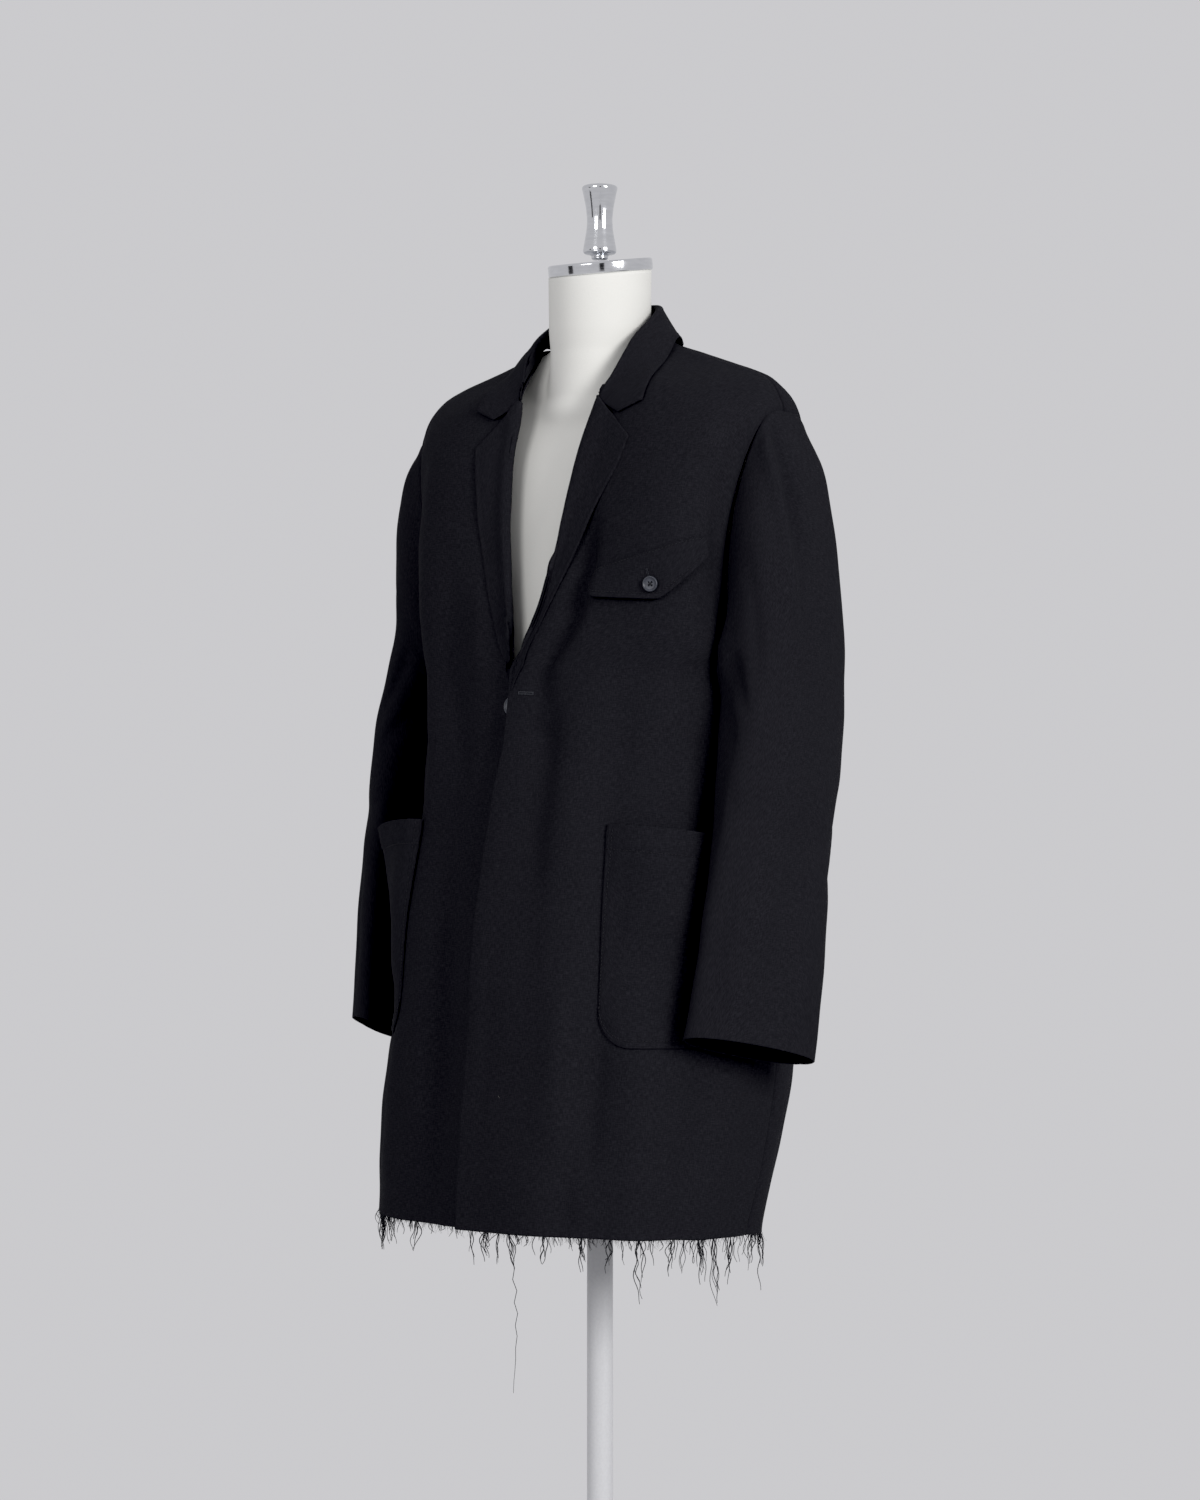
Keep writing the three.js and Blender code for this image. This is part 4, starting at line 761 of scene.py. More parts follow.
def rim_of(index):
    """The point numbers round a grid's border, in order."""
    return np.concatenate([index[0, :-1], index[:-1, -1], index[-1, :0:-1], index[:0:-1, 0]])


def tucked(points, flip, sides):
    """Adds a line of points beyond some of the grid's borders: a step further out, and then in towards the
    lining side. That is the seam allowance, which lies under the piece it is sewn to."""
    for side in sides:
        axis = 0 if side in ("bottom", "top") else 1
        first = side in ("bottom", "left")
        border, inner = (0, 1) if first else (-1, -2)
        lines = points.swapaxes(0, axis)
        normal = normals_of(points, flip).swapaxes(0, axis)[border]
        away = lines[border] - lines[inner]
        away /= np.maximum(np.linalg.norm(away, axis=-1, keepdims=True), 1e-9)
        line = np.expand_dims(lines[border] + away * TUCK_OUT - normal * TUCK_IN, axis)
        points = np.concatenate([line, points] if first else [points, line], axis)
    return points


def cloth_piece(name, outer, flip, nodes, thickness=CLOTH, tuck=()):
    """A closed wall of cloth. The rim's middle line stands out by a third of the thickness, away from the
    nearest point inside the grid."""
    outer = tucked(outer, flip, tuck)
    rows, columns = outer.shape[:2]
    thickness = np.broadcast_to(thickness, (rows, columns))[..., None]
    count = rows * columns
    index = np.arange(count).reshape(rows, columns)
    normal = normals_of(outer, flip)
    inner = outer - normal * thickness
    border = rim_of(index)
    r, c = np.divmod(border, columns)
    away = outer[r, c] - outer[np.clip(r, 1, rows - 2), np.clip(c, 1, columns - 2)]
    away /= np.maximum(np.linalg.norm(away, axis=-1, keepdims=True), 1e-9)
    rim = (outer[r, c] + inner[r, c]) / 2 + away * thickness[r, c] / 3
    points = np.concatenate([outer.reshape(-1, 3), inner.reshape(-1, 3), rim])
    ring = 2 * count + np.arange(len(border))
    front, after = border, np.roll(border, -1)
    faces = np.concatenate([
        grid_faces(index),
        grid_faces(index + count)[:, ::-1],
        np.stack([after, front, ring, np.roll(ring, -1)], -1),
        np.stack([np.roll(ring, -1), ring, front + count, after + count], -1),
    ])
    if flip < 0:
        faces = faces[:, ::-1]
    uv = np.stack([lengths(outer, 1), lengths(outer, 0)], -1) * MM
    uv = np.concatenate([uv.reshape(-1, 2)] * 2 + [uv[r, c]])
    piece = new_piece(name, points, [faces], wool, uv)
    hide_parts(*nodes)
    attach(piece, "root")
    return piece


def cut_of(outer):
    """Width, length and area of the flat cut in metres: the longest row, the longest column and the sum
    of the grid's cells."""
    width = lengths(outer, 1)[:, -1].max() * MM
    length = lengths(outer, 0)[-1].max() * MM
    a = outer[1:, 1:] - outer[:-1, :-1]
    b = outer[1:, :-1] - outer[:-1, 1:]
    area = np.linalg.norm(np.cross(a, b), axis=-1).sum() / 2 * MM**2
    return (float(width), float(length)), float(min(area, width * length))


def declare(piece, outer):
    """Prints a piece's name, its flat cut, its area and its number of faces."""
    flat, area = cut_of(outer)
    print(piece.name, "flat", np.round(flat, 3), "area", round(area, 4), "faces", len(piece.data.polygons))


def soften(points, passes, keep):
    """Evens out a grid along its columns: each point moves towards the mean of its neighbours, many
    times, except where keep is 0 and on the first and last rows."""
    for _ in range(passes):
        mean = points.copy()
        mean[1:-1] = (points[:-2] + 2 * points[1:-1] + points[2:]) / 4
        points = points + (mean - points) * keep[..., None]
    return points


def seam_shape(distance, along, seed, pucker=0.13):
    """What sewing does beside a seam: the cloth turns in towards it, and small uneven puckers run into it.
    The puckers are sine waves along the seam whose phase wanders, and fade within 10 mm."""
    roll = -1.15 * bell(distance, 0, 2.3) + 0.25 * bell(distance, 6.5, 3.2)
    wander = 2.2 * np.sin(along / 31 + seed) + 1.4 * np.sin(along / 13.7 + 2 * seed)
    strength = 0.6 + 0.4 * np.sin(along / 47 + 3 * seed)
    return roll + pucker * strength * np.sin(along / 3.1 + wander) * np.exp(-distance / 8)


# %% [markdown]
# ## Fronts and back
#
# The three panels get their creases and a ripple. The creases die out before a seam, where the cloth is
# held by stitches. Along the side seam, the armhole and the shoulder the edge turns in a little, and a
# narrow seam allowance is tucked under there. Beside the armhole each front sinks into a shallow hollow.

# %% Build the panels
HAIR = 0.0003
SEAM_FADE = 22.0
SEAM_HOLD = 0.25
ARMHOLE_HOLLOW = 3.5
PANEL_V = spaced((shares, front_points(1, 0.55, shares)))
panels = {}


def dressed_front(side):
    """A front's outer face with its shares, points and normals, for the pieces that lie on it."""
    name = "coat_front_left" if side > 0 else "coat_front_right"
    u = spaced((shares, front_points(side, shares, 0.38)))
    grid_u, grid_v = np.meshgrid(u * (1 - HAIR), PANEL_V * (1 - HAIR))
    base = front_points(side, grid_u, grid_v)
    s, h = lengths(base, 1), base[..., 2]
    to_side = s[:, -1:] - s
    run = lengths(base, 0)
    to_top = run[-1:] - run
    base = soften(base, 10, smoothstep(to_side / 30) * smoothstep(s / 8) * 0.9)
    held = smoothstep(to_side / SEAM_FADE) * smoothstep(to_top / SEAM_FADE)
    depth = crease_depth(CREASES[name], s, h) * held + ripple(base, RIPPLE_SEED, CLOTH_RIPPLE)
    depth *= mix(SEAM_HOLD, 1, held)
    depth += seam_shape(to_side, run, 1.0 + side) + seam_shape(to_top, s, 2.0 + side)
    beside_sleeve = smoothstep((h - 1140) / 90) * smoothstep((1385 - h) / 50)
    depth -= ARMHOLE_HOLLOW * beside_sleeve * bell(to_side, 15, 9)
    normals = normals_of(base, side)
    calm = base + normals * (ripple(base, RIPPLE_SEED, CLOTH_RIPPLE) * mix(SEAM_HOLD, 1, held))[..., None]
    points = base + normals * depth[..., None]
    return name, {"u": u, "v": PANEL_V, "points": points, "calm": calm, "normals": normals}


for side, node in ((1, "front_left"), (-1, "front_right")):
    name, panels[side] = dressed_front(side)
    piece = cloth_piece(name, panels[side]["points"], side, [node], tuck=("right", "top"))
    declare(piece, panels[side]["points"])


def dressed_back():
    """The back's outer face."""
    half = spaced((shares, back_points(shares, 0.38)))
    inner = half[np.concatenate([[0], np.arange(len(NEAR_EDGE), len(half))])]
    u = np.concatenate([-inner[:0:-1], inner])
    grid_u, grid_v = np.meshgrid(u * (1 - HAIR), PANEL_V * (1 - HAIR))
    base = back_points(grid_u, grid_v)
    run, along = lengths(base, 1), lengths(base, 0)
    middle = run[:, len(inner) - 1][:, None]
    s, h = run - middle, base[..., 2]
    to_side = np.minimum(run, run[:, -1:] - run)
    to_top = along[-1:] - along
    base = soften(base, 10, smoothstep(to_side / 30) * 0.9)
    held = smoothstep(to_side / SEAM_FADE) * smoothstep(to_top / SEAM_FADE)
    depth = crease_depth(CREASES["coat_back"], s, h) * held + ripple(base, RIPPLE_SEED, CLOTH_RIPPLE)
    depth *= mix(SEAM_HOLD, 1, held)
    depth += seam_shape(to_side, along, 2.0) + seam_shape(to_top, s, 3.0) * (np.abs(s) > 70)
    return base + normals_of(base, -1) * depth[..., None]


back_grid = dressed_back()
coat_back = cloth_piece("coat_back", back_grid, -1, ["back"], tuck=("left", "right", "top"))
declare(coat_back, back_grid)

# %% [markdown]
# ## Sleeves
#
# A coat sleeve is cut in two: a wide upper piece and a narrow under piece, with one seam at the front of
# the arm and one behind the elbow. Both hang from the armhole. The head of the sleeve is eased into it,
# so the puckers there are stronger than on the long seams. The left sleeve is filled out at the front of
# the arm by a long, soft swelling that runs on across the seam.

# %% Build the sleeves
FRONT_SEAM = -math.pi * (1 - SLEEVE_SEAM["front"])
BACK_SEAM = math.pi * (1 - SLEEVE_SEAM["back"])
DEGREE_WIDTH = 1.22
SLEEVE_SWELL = table(CREASE_COLUMNS, [(-172, 1380, -178, 870, 0, 36, 18), (-96, 1300, -100, 900, 0, 30, -2)])


def dressed_sleeve(side, first, last):
    """A sleeve piece's outer face between two angles. Creases are placed by the angle, as a distance of
    1.22 mm for each degree from the outermost line."""
    def angle_of(share):
        return mix(first + SLEEVE_GAP, last - SLEEVE_GAP, share)

    across = spaced((shares, sleeve_points(side, angle_of(shares), 0.45)))
    down = spaced((shares, sleeve_points(side, 0.5 * (first + last), shares)))
    grid_i, grid_j = np.meshgrid(across, down)
    base = sleeve_points(side, angle_of(grid_i), grid_j)
    base[..., 0] += side * SEAM * 2.4 * (1 - grid_j)
    base[..., 2] -= SEAM * 0.35 * (1 - grid_j)
    run, along = lengths(base, 1), lengths(base, 0)
    to_side = np.minimum(run, run[:, -1:] - run)
    degrees = (np.degrees(angle_of(grid_i)) + 180) % 360 - 180
    s, h = degrees * DEGREE_WIDTH, base[..., 2]
    held = smoothstep(to_side / 12) * smoothstep(along / SEAM_FADE)
    rows = CREASES["sleeve_left" if side > 0 else "sleeve_right"]
    depth = crease_depth(rows, s, h) * held + ripple(base, RIPPLE_SEED, CLOTH_RIPPLE)
    depth *= mix(SEAM_HOLD, 1, held)
    if side > 0:
        depth += crease_depth(SLEEVE_SWELL, s, h) * smoothstep(along / 32)
    depth += seam_shape(to_side, along, 4.0 + side) + seam_shape(along, run, 5.0 + side, 0.4)
    return base + normals_of(base, -side) * depth[..., None]


SLEEVE_PARTS = [
    ("upper", FRONT_SEAM, BACK_SEAM, ("bottom",)),
    ("under", BACK_SEAM, FRONT_SEAM + 2 * math.pi, ("bottom", "left", "right")),
]
for side, word in ((1, "left"), (-1, "right")):
    for part, first, last, tuck in SLEEVE_PARTS:
        points = dressed_sleeve(side, first, last)
        node = f"{part}_sleeve_{word}"
        piece = cloth_piece(node + "_cloth", points, -side, [node], tuck=tuck)
        declare(piece, points)

# %% [markdown]
# ## Pieces that lie on the fronts
#
# Lapels, pockets and the chest flap are sewn to the fronts, so each is made from the front's own points,
# moved out along its normals. A place is found from its distance to the centre and its height.

# %% Places on a front
SEAT = 0.7


def place_on_front(side, x, z):
    """The shares (u, v) of a front for a distance from the centre and a height: u by halving, v by small
    steps, in turn."""
    x, z = np.broadcast_arrays(np.asarray(x, float), np.asarray(z, float))
    v = UNDERARM_V * (z - HEM_Z) / (UNDERARM_Z - HEM_Z)
    u = np.full(x.shape, 0.3)
    for _ in range(12):
        low, high = np.full(x.shape, 0.003), np.full(x.shape, 0.99)
        for _ in range(16):
            u = (low + high) / 2
            inside = side * front_points(side, u, v)[..., 0] < x
            low, high = np.where(inside, u, low), np.where(inside, high, u)
        step = front_points(side, u, np.minimum(v + 0.01, 1)) - front_points(side, u, v - 0.01)
        v = v + 0.9 * (z - front_points(side, u, v)[..., 2]) / (step[..., 2] / 0.02)
        v = np.clip(v, 0.012, 0.99)
    return u, v


def on_panel(side, u, v, out, layer="points"):
    """Points on a dressed front, moved out along its normals. The panel's grid is read between its lines
    in both directions. The calm layer has no creases: what is pressed flat bridges them."""
    panel = panels[side]
    i = np.clip(np.searchsorted(panel["u"], u) - 1, 0, len(panel["u"]) - 2)
    j = np.clip(np.searchsorted(panel["v"], v) - 1, 0, len(panel["v"]) - 2)
    s = ((u - panel["u"][i]) / (panel["u"][i + 1] - panel["u"][i]))[..., None]
    t = ((v - panel["v"][j]) / (panel["v"][j + 1] - panel["v"][j]))[..., None]

    def between(grid):
        return mix(mix(grid[j, i], grid[j, i + 1], s), mix(grid[j + 1, i], grid[j + 1, i + 1], s), t)

    return between(panel[layer]) + between(panel["normals"]) * np.asarray(out)[..., None]


# %% [markdown]
# ## Lapels
#
# A lapel is the front's own cloth turned back at the roll line, so it springs up there and lies flatter
# towards its edge. The edge is pressed, with the seam rolled just under it, and the raised line that this
# leaves catches the light.

# %% Build the lapels
LAPEL_EDGE = {
    1: table("t x z", [
        (0, -15, 1109), (0.13, -3, 1138), (0.27, 12, 1172), (0.43, 29, 1211), (0.55, 42, 1239),
        (0.73, 62, 1284), (0.89, 82, 1322), (1, 93, 1353),
    ]),
    -1: table("t x z", [
        (0, 23, 1109), (0.1, 30, 1126), (0.27, 47, 1165), (0.46, 64, 1217), (0.68, 76, 1271),
        (0.84, 82, 1306), (1, 90, 1349),
    ]),
}
LAPEL_ROLL_END = 0.852
LAPEL_LENGTH, LAPEL_WIDTH = 250, 52
LAPEL_THICKNESS = 2.6
LAPEL_LIFT = 4.0
LAPEL_START = 0.35
LAPEL_GROWTH = 0.2
ROLL_REACH = {1: 0.45, -1: 0.95}
ROLL_COLUMNS = 8


def lapel_grid(side):
    """A lapel's outer face and thickness. Straight lines run from the roll line to the outer edge, lifted
    where the cloth rolls. Before them come a few columns on a half circle round the front's own edge, so
    that the cloth turns over in one curve. All of it thins out towards the break."""
    t = spaced(straight(LAPEL_LENGTH))
    a = spaced(straight(LAPEL_WIDTH), 3.4)
    grid_a, grid_t = np.meshgrid(a, t)
    w = LAPEL_ROLL_END * grid_t
    x = mix(read(ROLL[side], "w", "x", w), read(LAPEL_EDGE[side], "t", "x", grid_t), grid_a)
    z = mix(read(ROLL[side], "w", "z", w), read(LAPEL_EDGE[side], "t", "z", grid_t), grid_a)
    u, v = place_on_front(side, x, z)
    grown = smoothstep(grid_t / LAPEL_GROWTH)
    thickness = mix(1.0, LAPEL_THICKNESS, grown)
    out = LAPEL_START + (SEAT - LAPEL_START + LAPEL_THICKNESS) * grown
    out += LAPEL_LIFT * grown * bell(grid_a, 0.12, 0.22) - (SEAT + 0.5) * grown * grid_a**3
    flat = on_panel(side, u, v, out, "calm")
    from_edge = lengths(flat, 1)[:, -1:] - lengths(flat, 1)
    edge_roll = 0.45 * bell(from_edge, 1.6, 1.6) - 0.3 * bell(from_edge, 6, 1.6)
    wave = 0.7 * np.sin(grid_t * 11 + side) * grid_a + ripple(flat, 5, [(48, 0.35)])
    flat = flat + normals_of(flat, side) * (edge_roll + wave)[..., None]
    normal = on_panel(side, u, v, out + 1.0)[:, :1] - on_panel(side, u, v, out)[:, :1]
    root_u, root_v = u[:, :1], v[:, :1]
    outwards = on_panel(side, root_u, root_v, 0 * root_u) - on_panel(side, root_u + 0.03, root_v, 0 * root_u)
    outwards /= np.linalg.norm(outwards, axis=-1, keepdims=True)
    radius = ((out[:, :1] + CLOTH + 0.3) / 2)[..., None]
    angle = (np.pi * np.linspace(0.86, 0, ROLL_COLUMNS + 1)[None, :-1])[..., None]
    reach = ROLL_REACH[side] * np.sin(angle)
    rolled = flat[:, :1] + normal * radius * (np.cos(angle) - 1) + outwards * radius * reach
    thin = np.repeat(thickness[:, :1], ROLL_COLUMNS, 1) * 0.6
    return np.concatenate([rolled, flat], 1), np.concatenate([thin, thickness], 1)


for side, word in ((1, "left"), (-1, "right")):
    points, thickness = lapel_grid(side)
    piece = cloth_piece(f"lapel_{word}_cloth", points, side, [f"lapel_{word}"], thickness)
    declare(piece, points)

# %% [markdown]
# ## Patch pockets
#
# Each pocket is a square patch with rounded lower corners. It is sewn down beside its edge, 7 mm in, and
# that row of stitches presses a groove into it. The mouth is hemmed and gapes, more on the right.

# %% Build the pockets
POCKETS = {
    1: {"edge": 103, "bottom": 768, "mouth": 979, "slope": 14, "gape": 13, "fall": 1.3, "side_share": 0.87},
    -1: {"edge": 130, "bottom": 768, "mouth": 981, "slope": 26, "gape": 40, "fall": 1.3, "side_share": 0.87},
}
POCKET_CORNER = 32
STITCH_INSET = 7.0
MOUTH_HEM = 24.0
POCKET_DEPTH = 205
FRONT_RISE = 880


def pocket_grid(side):
    """A pocket's outer face. Its lower corner is a quarter circle: the bottom rises by
    r - sqrt(r^2 - (r - x)^2) within r of the front edge. The shares v are found by small steps."""
    size = POCKETS[side]
    edge_u = place_on_front(side, size["edge"], (size["bottom"] + size["mouth"]) / 2)[0]
    reach = front_points(side, mix(edge_u, size["side_share"], shares), 0.36)
    columns = spaced((shares, reach), 3.6)
    rows = spaced(straight(POCKET_DEPTH), 4.2)
    grid_a, grid_b = np.meshgrid(columns, rows)
    u = mix(edge_u, size["side_share"], grid_a)
    x = np.interp(grid_a, shares, lengths(reach, 0))
    inside = np.clip(POCKET_CORNER - x, 0, POCKET_CORNER)
    bottom = size["bottom"] + POCKET_CORNER - np.sqrt(POCKET_CORNER**2 - inside**2)
    z = mix(bottom, size["mouth"] - size["slope"] * grid_a, grid_b)
    v = UNDERARM_V * (z - HEM_Z) / (UNDERARM_Z - HEM_Z)
    for _ in range(5):
        v = v + (z - front_points(side, u, v)[..., 2]) / FRONT_RISE
    sag = dome(grid_a) ** 0.8 * grid_b ** size["fall"]
    out = SEAT + CLOTH + size["gape"] * sag
    points = on_panel(side, u, v, out)
    run, up = lengths(points, 1), lengths(points, 0)
    edge = np.minimum(np.minimum(run, up), run[:, -1:] - run)
    sewn_down = -(SEAT + 0.35) * bell(edge, 0, 5)
    groove = -0.95 * bell(edge, STITCH_INSET, 1.7) + 0.35 * bell(edge, 3, 2)
    from_mouth = up[-1:] - up
    groove += -0.7 * bell(from_mouth, MOUTH_HEM, 1.6) + 0.5 * smoothstep((MOUTH_HEM - from_mouth) / 3)
    slack = smoothstep(edge / 30)
    creases = 2.2 * np.sin(x / 17 + z / 60 + side) * slack * bell(from_mouth, 90, 70)
    pucker = 0.25 * np.sin(up / 2.2 + 2 * np.sin(up / 17)) * np.exp(-edge / 6)
    depth = sewn_down + groove + creases + pucker + ripple(points, 8, [(70, 0.9), (30, 0.25)]) * slack
    return points + normals_of(points, side) * depth[..., None]


pockets = {}
for side, word in ((1, "left"), (-1, "right")):
    pockets[side] = pocket_grid(side)
    piece = cloth_piece(f"pocket_{word}_cloth", pockets[side], side, [f"pocket_{word}"])
    declare(piece, pockets[side])

# %% [markdown]
# ## Chest flap
#
# The flap slants up towards the sleeve. It is sewn down along its top edge and held by one button, so it
# lies close at the top and stands off at its lower edge. Its outline is a short list of corners, joined by
# straight lines and eased a little, because a turned corner is never sharp.

# %% Build the flap
FLAP = table("x top bottom", [
    (59.5, 1223, 1209), (63, 1224, 1201), (70, 1226, 1197.5), (90, 1231, 1196.5), (115, 1237, 1195.5),
    (138, 1243.5, 1195), (152, 1248.5, 1206), (165, 1253, 1222), (174, 1255, 1237),
])
FLAP_WIDTH, FLAP_DEPTH = 116, 42
FLAP_LIFT = 2.5


def eased(at, x, y, reach=3.0):
    """Straight lines through points, averaged over a short reach on both sides."""
    return sum(np.interp(at + shift, x, y) for shift in (-reach, -reach / 2, 0, reach / 2, reach)) / 5


def flap_grid():
    """The flap's outer face, from its lower edge to its sewn edge."""
    x = FLAP["x"][0] + (FLAP["x"][-1] - FLAP["x"][0]) * spaced(straight(FLAP_WIDTH), 2.6)
    b = spaced(straight(FLAP_DEPTH), 2.6)
    grid_x, grid_b = np.meshgrid(x, b)
    bottom = eased(grid_x, FLAP["x"], FLAP["bottom"])
    top = eased(grid_x, FLAP["x"], FLAP["top"])
    u, v = place_on_front(1, grid_x, mix(bottom, top, grid_b))
    out = SEAT + 0.5 + CLOTH + FLAP_LIFT * (1 - grid_b) ** 1.5
    points = on_panel(1, u, v, out)
    run, up = lengths(points, 1), lengths(points, 0)
    edge = np.minimum(np.minimum(run, up), run[:, -1:] - run)
    rise = 0.5 * bell(edge, 1.5, 1.4) - 0.4 * bell(edge, 5.5, 1.3)
    sewn = -2.2 * bell(up[-1:] - up, 0, 2.2)
    curl = 0.8 * np.sin(grid_x / 15 + 0.7) * (1 - grid_b) ** 2 + ripple(points, 9, [(40, 0.35)])
    pull = -1.1 * np.exp(-((grid_x - 131) ** 2 + (mix(bottom, top, grid_b) - 1210) ** 2) / 120)
    return points + normals_of(points, 1) * (rise + sewn + curl + pull)[..., None]


flap = flap_grid()
flap_piece = cloth_piece("chest_flap_cloth", flap, 1, ["chest_flap"])
declare(flap_piece, flap)

# %% [markdown]
# ## Collar
#
# The collar is one folded surface: a stand that rises from the neck seam, a round fold, and a leaf that
# falls over it to the notch. Each cross section is worked out along the neck. Any point that would sink
# into the coat is pushed out to the cloth's clearance.

# %% Build the collar
COLLAR = table("t fold_x fold_y fold_z edge_x edge_y edge_z dip round", [
    (0, 0, 61, 1498, 0, 89, 1455, 0, 3.4), (0.3, 33, 51, 1497, 47, 73, 1456, 0, 3.4),
    (0.55, 55, 24, 1489, 75, 36, 1457, 0, 3.2), (0.7, 61, -2, 1475, 88, 7, 1457, 0, 2.8),
    (0.85, 60, -38, 1446, 95, -30, 1424, 0, 2.2), (1, 49, -71, 1392, 101, -72, 1389, 13, 1.7),
])
COLLAR_NECK = 0.62
COLLAR_HALF = 205
COLLAR_FRONT_LIFT = 1.6
STAND, BEND, LEAF = 8, 8, 16


def collar_seam(side, t):
    """Where the collar is sewn on: along the back neckline, and then down the roll line's end."""
    x, y, z = back_top(side, NECK_SHARE * np.minimum(t / COLLAR_NECK, 1))
    w = mix(1, LAPEL_ROLL_END + 0.02, np.clip((t - COLLAR_NECK) / (1 - COLLAR_NECK), 0, 1))
    roll = [read(ROLL[side], "w", name, w) for name in "xyz"]
    line = [np.where(t <= COLLAR_NECK, a, b) for a, b in zip((x, y, z), roll)]
    return np.stack([side * line[0], line[1] - 1, line[2] + 1], -1)


def collar_half(side, t):
    """Rows of the collar for an array of places t, each from the seam over the fold to the edge."""
    value = {name: read(COLLAR, "t", name, t)[:, None] for name in COLLAR if name != "t"}
    fold = np.stack([side * value["fold_x"], value["fold_y"], value["fold_z"]], -1)
    edge = np.stack([side * value["edge_x"], value["edge_y"], value["edge_z"]], -1)
    outward = (edge - fold) * (1, 1, 0)
    outward /= np.linalg.norm(outward, axis=-1, keepdims=True)
    r = value["round"][..., None]
    centre = fold - r * (0, 0, 1)
    up = np.linspace(0, 1, STAND + 1)[None, :, None]
    stand = mix(collar_seam(side, t)[:, None, :], centre - outward * r, up)
    angle = np.pi * (1 - np.linspace(0, 1, BEND + 1)[None, 1:-1, None])
    bend = centre + outward * r * np.cos(angle) + r * np.sin(angle) * (0, 0, 1)
    along = np.linspace(0, 1, LEAF + 1)[None, :, None]
    leaf = mix(centre + outward * r, edge, along)
    near_end = np.maximum((t - 0.9) / 0.1, 0)[:, None, None]
    leaf = leaf - value["dip"][..., None] * (1 - np.abs(2 * along - 1)) * near_end * (0, 0, 1)
    return np.concatenate([stand, bend, leaf], 1)


def lift_off(points, clearance):
    """Moves each point out along the normal of the nearest panel point until it clears the panel."""
    cloud, directions = [], []
    for side in (1, -1):
        rows = panels[side]["v"] > 0.76
        cloud.append(panels[side]["points"][rows].reshape(-1, 3))
        directions.append(panels[side]["normals"][rows].reshape(-1, 3))
    rows = PANEL_V > 0.84
    cloud.append(back_grid[rows].reshape(-1, 3))
    directions.append(normals_of(back_grid, -1)[rows].reshape(-1, 3))
    cloud, directions = np.concatenate(cloud), np.concatenate(directions)
    flat = points.reshape(-1, 3)
    nearest = np.concatenate([
        ((part[:, None, :] - cloud[None]) ** 2).sum(-1).argmin(1) for part in np.array_split(flat, 24)
    ])
    away = ((flat - cloud[nearest]) * directions[nearest]).sum(-1)
    short = np.maximum(np.broadcast_to(clearance, points.shape[:-1]).ravel() - away, 0)
    return (flat + directions[nearest] * short[:, None]).reshape(points.shape)


def collar_grid():
    """The collar's outer face, from the right end round the neck to the left end."""
    t = spaced(straight(COLLAR_HALF), 4.0)
    t = t[np.concatenate([[0], np.arange(len(NEAR_EDGE), len(t))])]
    middle = np.concatenate([collar_half(-1, t)[:0:-1], collar_half(1, t)])
    place = np.concatenate([t[:0:-1], t])
    end = smoothstep((place - 0.76) / 0.19)[:, None]
    middle = lift_off(middle, CLOTH / 2 + SEAT + COLLAR_FRONT_LIFT * end)
    middle = soften(middle, 2, np.ones(middle.shape[:2]) * 0.8)
    normal = normals_of(middle, 1)
    run = lengths(middle, 1)
    from_edge = run[:, -1:] - run
    relief = 0.4 * bell(from_edge, 1.6, 1.5) - 0.3 * bell(from_edge, 6, 1.5)
    return middle + normal * (CLOTH / 2 + relief + ripple(middle, 5, [(48, 0.3)]))[..., None]


collar = collar_grid()
collar_piece = cloth_piece("collar_cloth", collar, 1, ["collar"])
declare(collar_piece, collar)

# %% [markdown]
# ## Sewing
#
# Rows of stitches hold the pockets, their mouth hems and the flap. A stitch is a short, fat thread that
# dips into the cloth at both ends. One small closed shape is bent along each step of a path, and all the
# stitches of a piece are one mesh, with only a few dozen faces each.

# %% Threads along paths
def tube_mesh(paths, radii, sides=4):
    """Closed tubes along many paths at once. paths is (tubes, points, 3) and radii (tubes, points). Each
    ring stands across the path's direction, and its sides are even turns round it."""
    tubes, count = paths.shape[:2]
    direction = np.gradient(paths, axis=1)
    direction /= np.maximum(np.linalg.norm(direction, axis=-1, keepdims=True), 1e-9)
    helper = np.where(np.abs(direction[..., 2:]) > 0.8, (1.0, 0, 0), (0, 0, 1.0))
    first = np.cross(direction, helper)
    first /= np.linalg.norm(first, axis=-1, keepdims=True)
    second = np.cross(direction, first)
    angle = np.arange(sides) * 2 * np.pi / sides
    ring = (
        first[:, :, None, :] * np.cos(angle)[None, None, :, None]
        + second[:, :, None, :] * np.sin(angle)[None, None, :, None]
    )
    points = paths[:, :, None, :] + ring * radii[:, :, None, None]
    index = np.arange(tubes * count * sides).reshape(tubes, count, sides)
    following = np.roll(index, -1, axis=2)
    walls = np.stack([index[:, :-1], following[:, :-1], following[:, 1:], index[:, 1:]], -1).reshape(-1, 4)
    caps = np.concatenate([index[:, 0, ::-1], index[:, -1]])
    return points.reshape(-1, 3), [walls, caps]


def thread_piece(name, paths, radii, material, beside, sides=4):
    """One object of many threads, which go with a CAD node's piece."""
    points, faces = tube_mesh(paths, radii, sides)
    piece = new_piece(name, points, faces, material)
    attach(piece, "root")
    print(name, "of", len(paths), "threads beside", beside)
    return piece


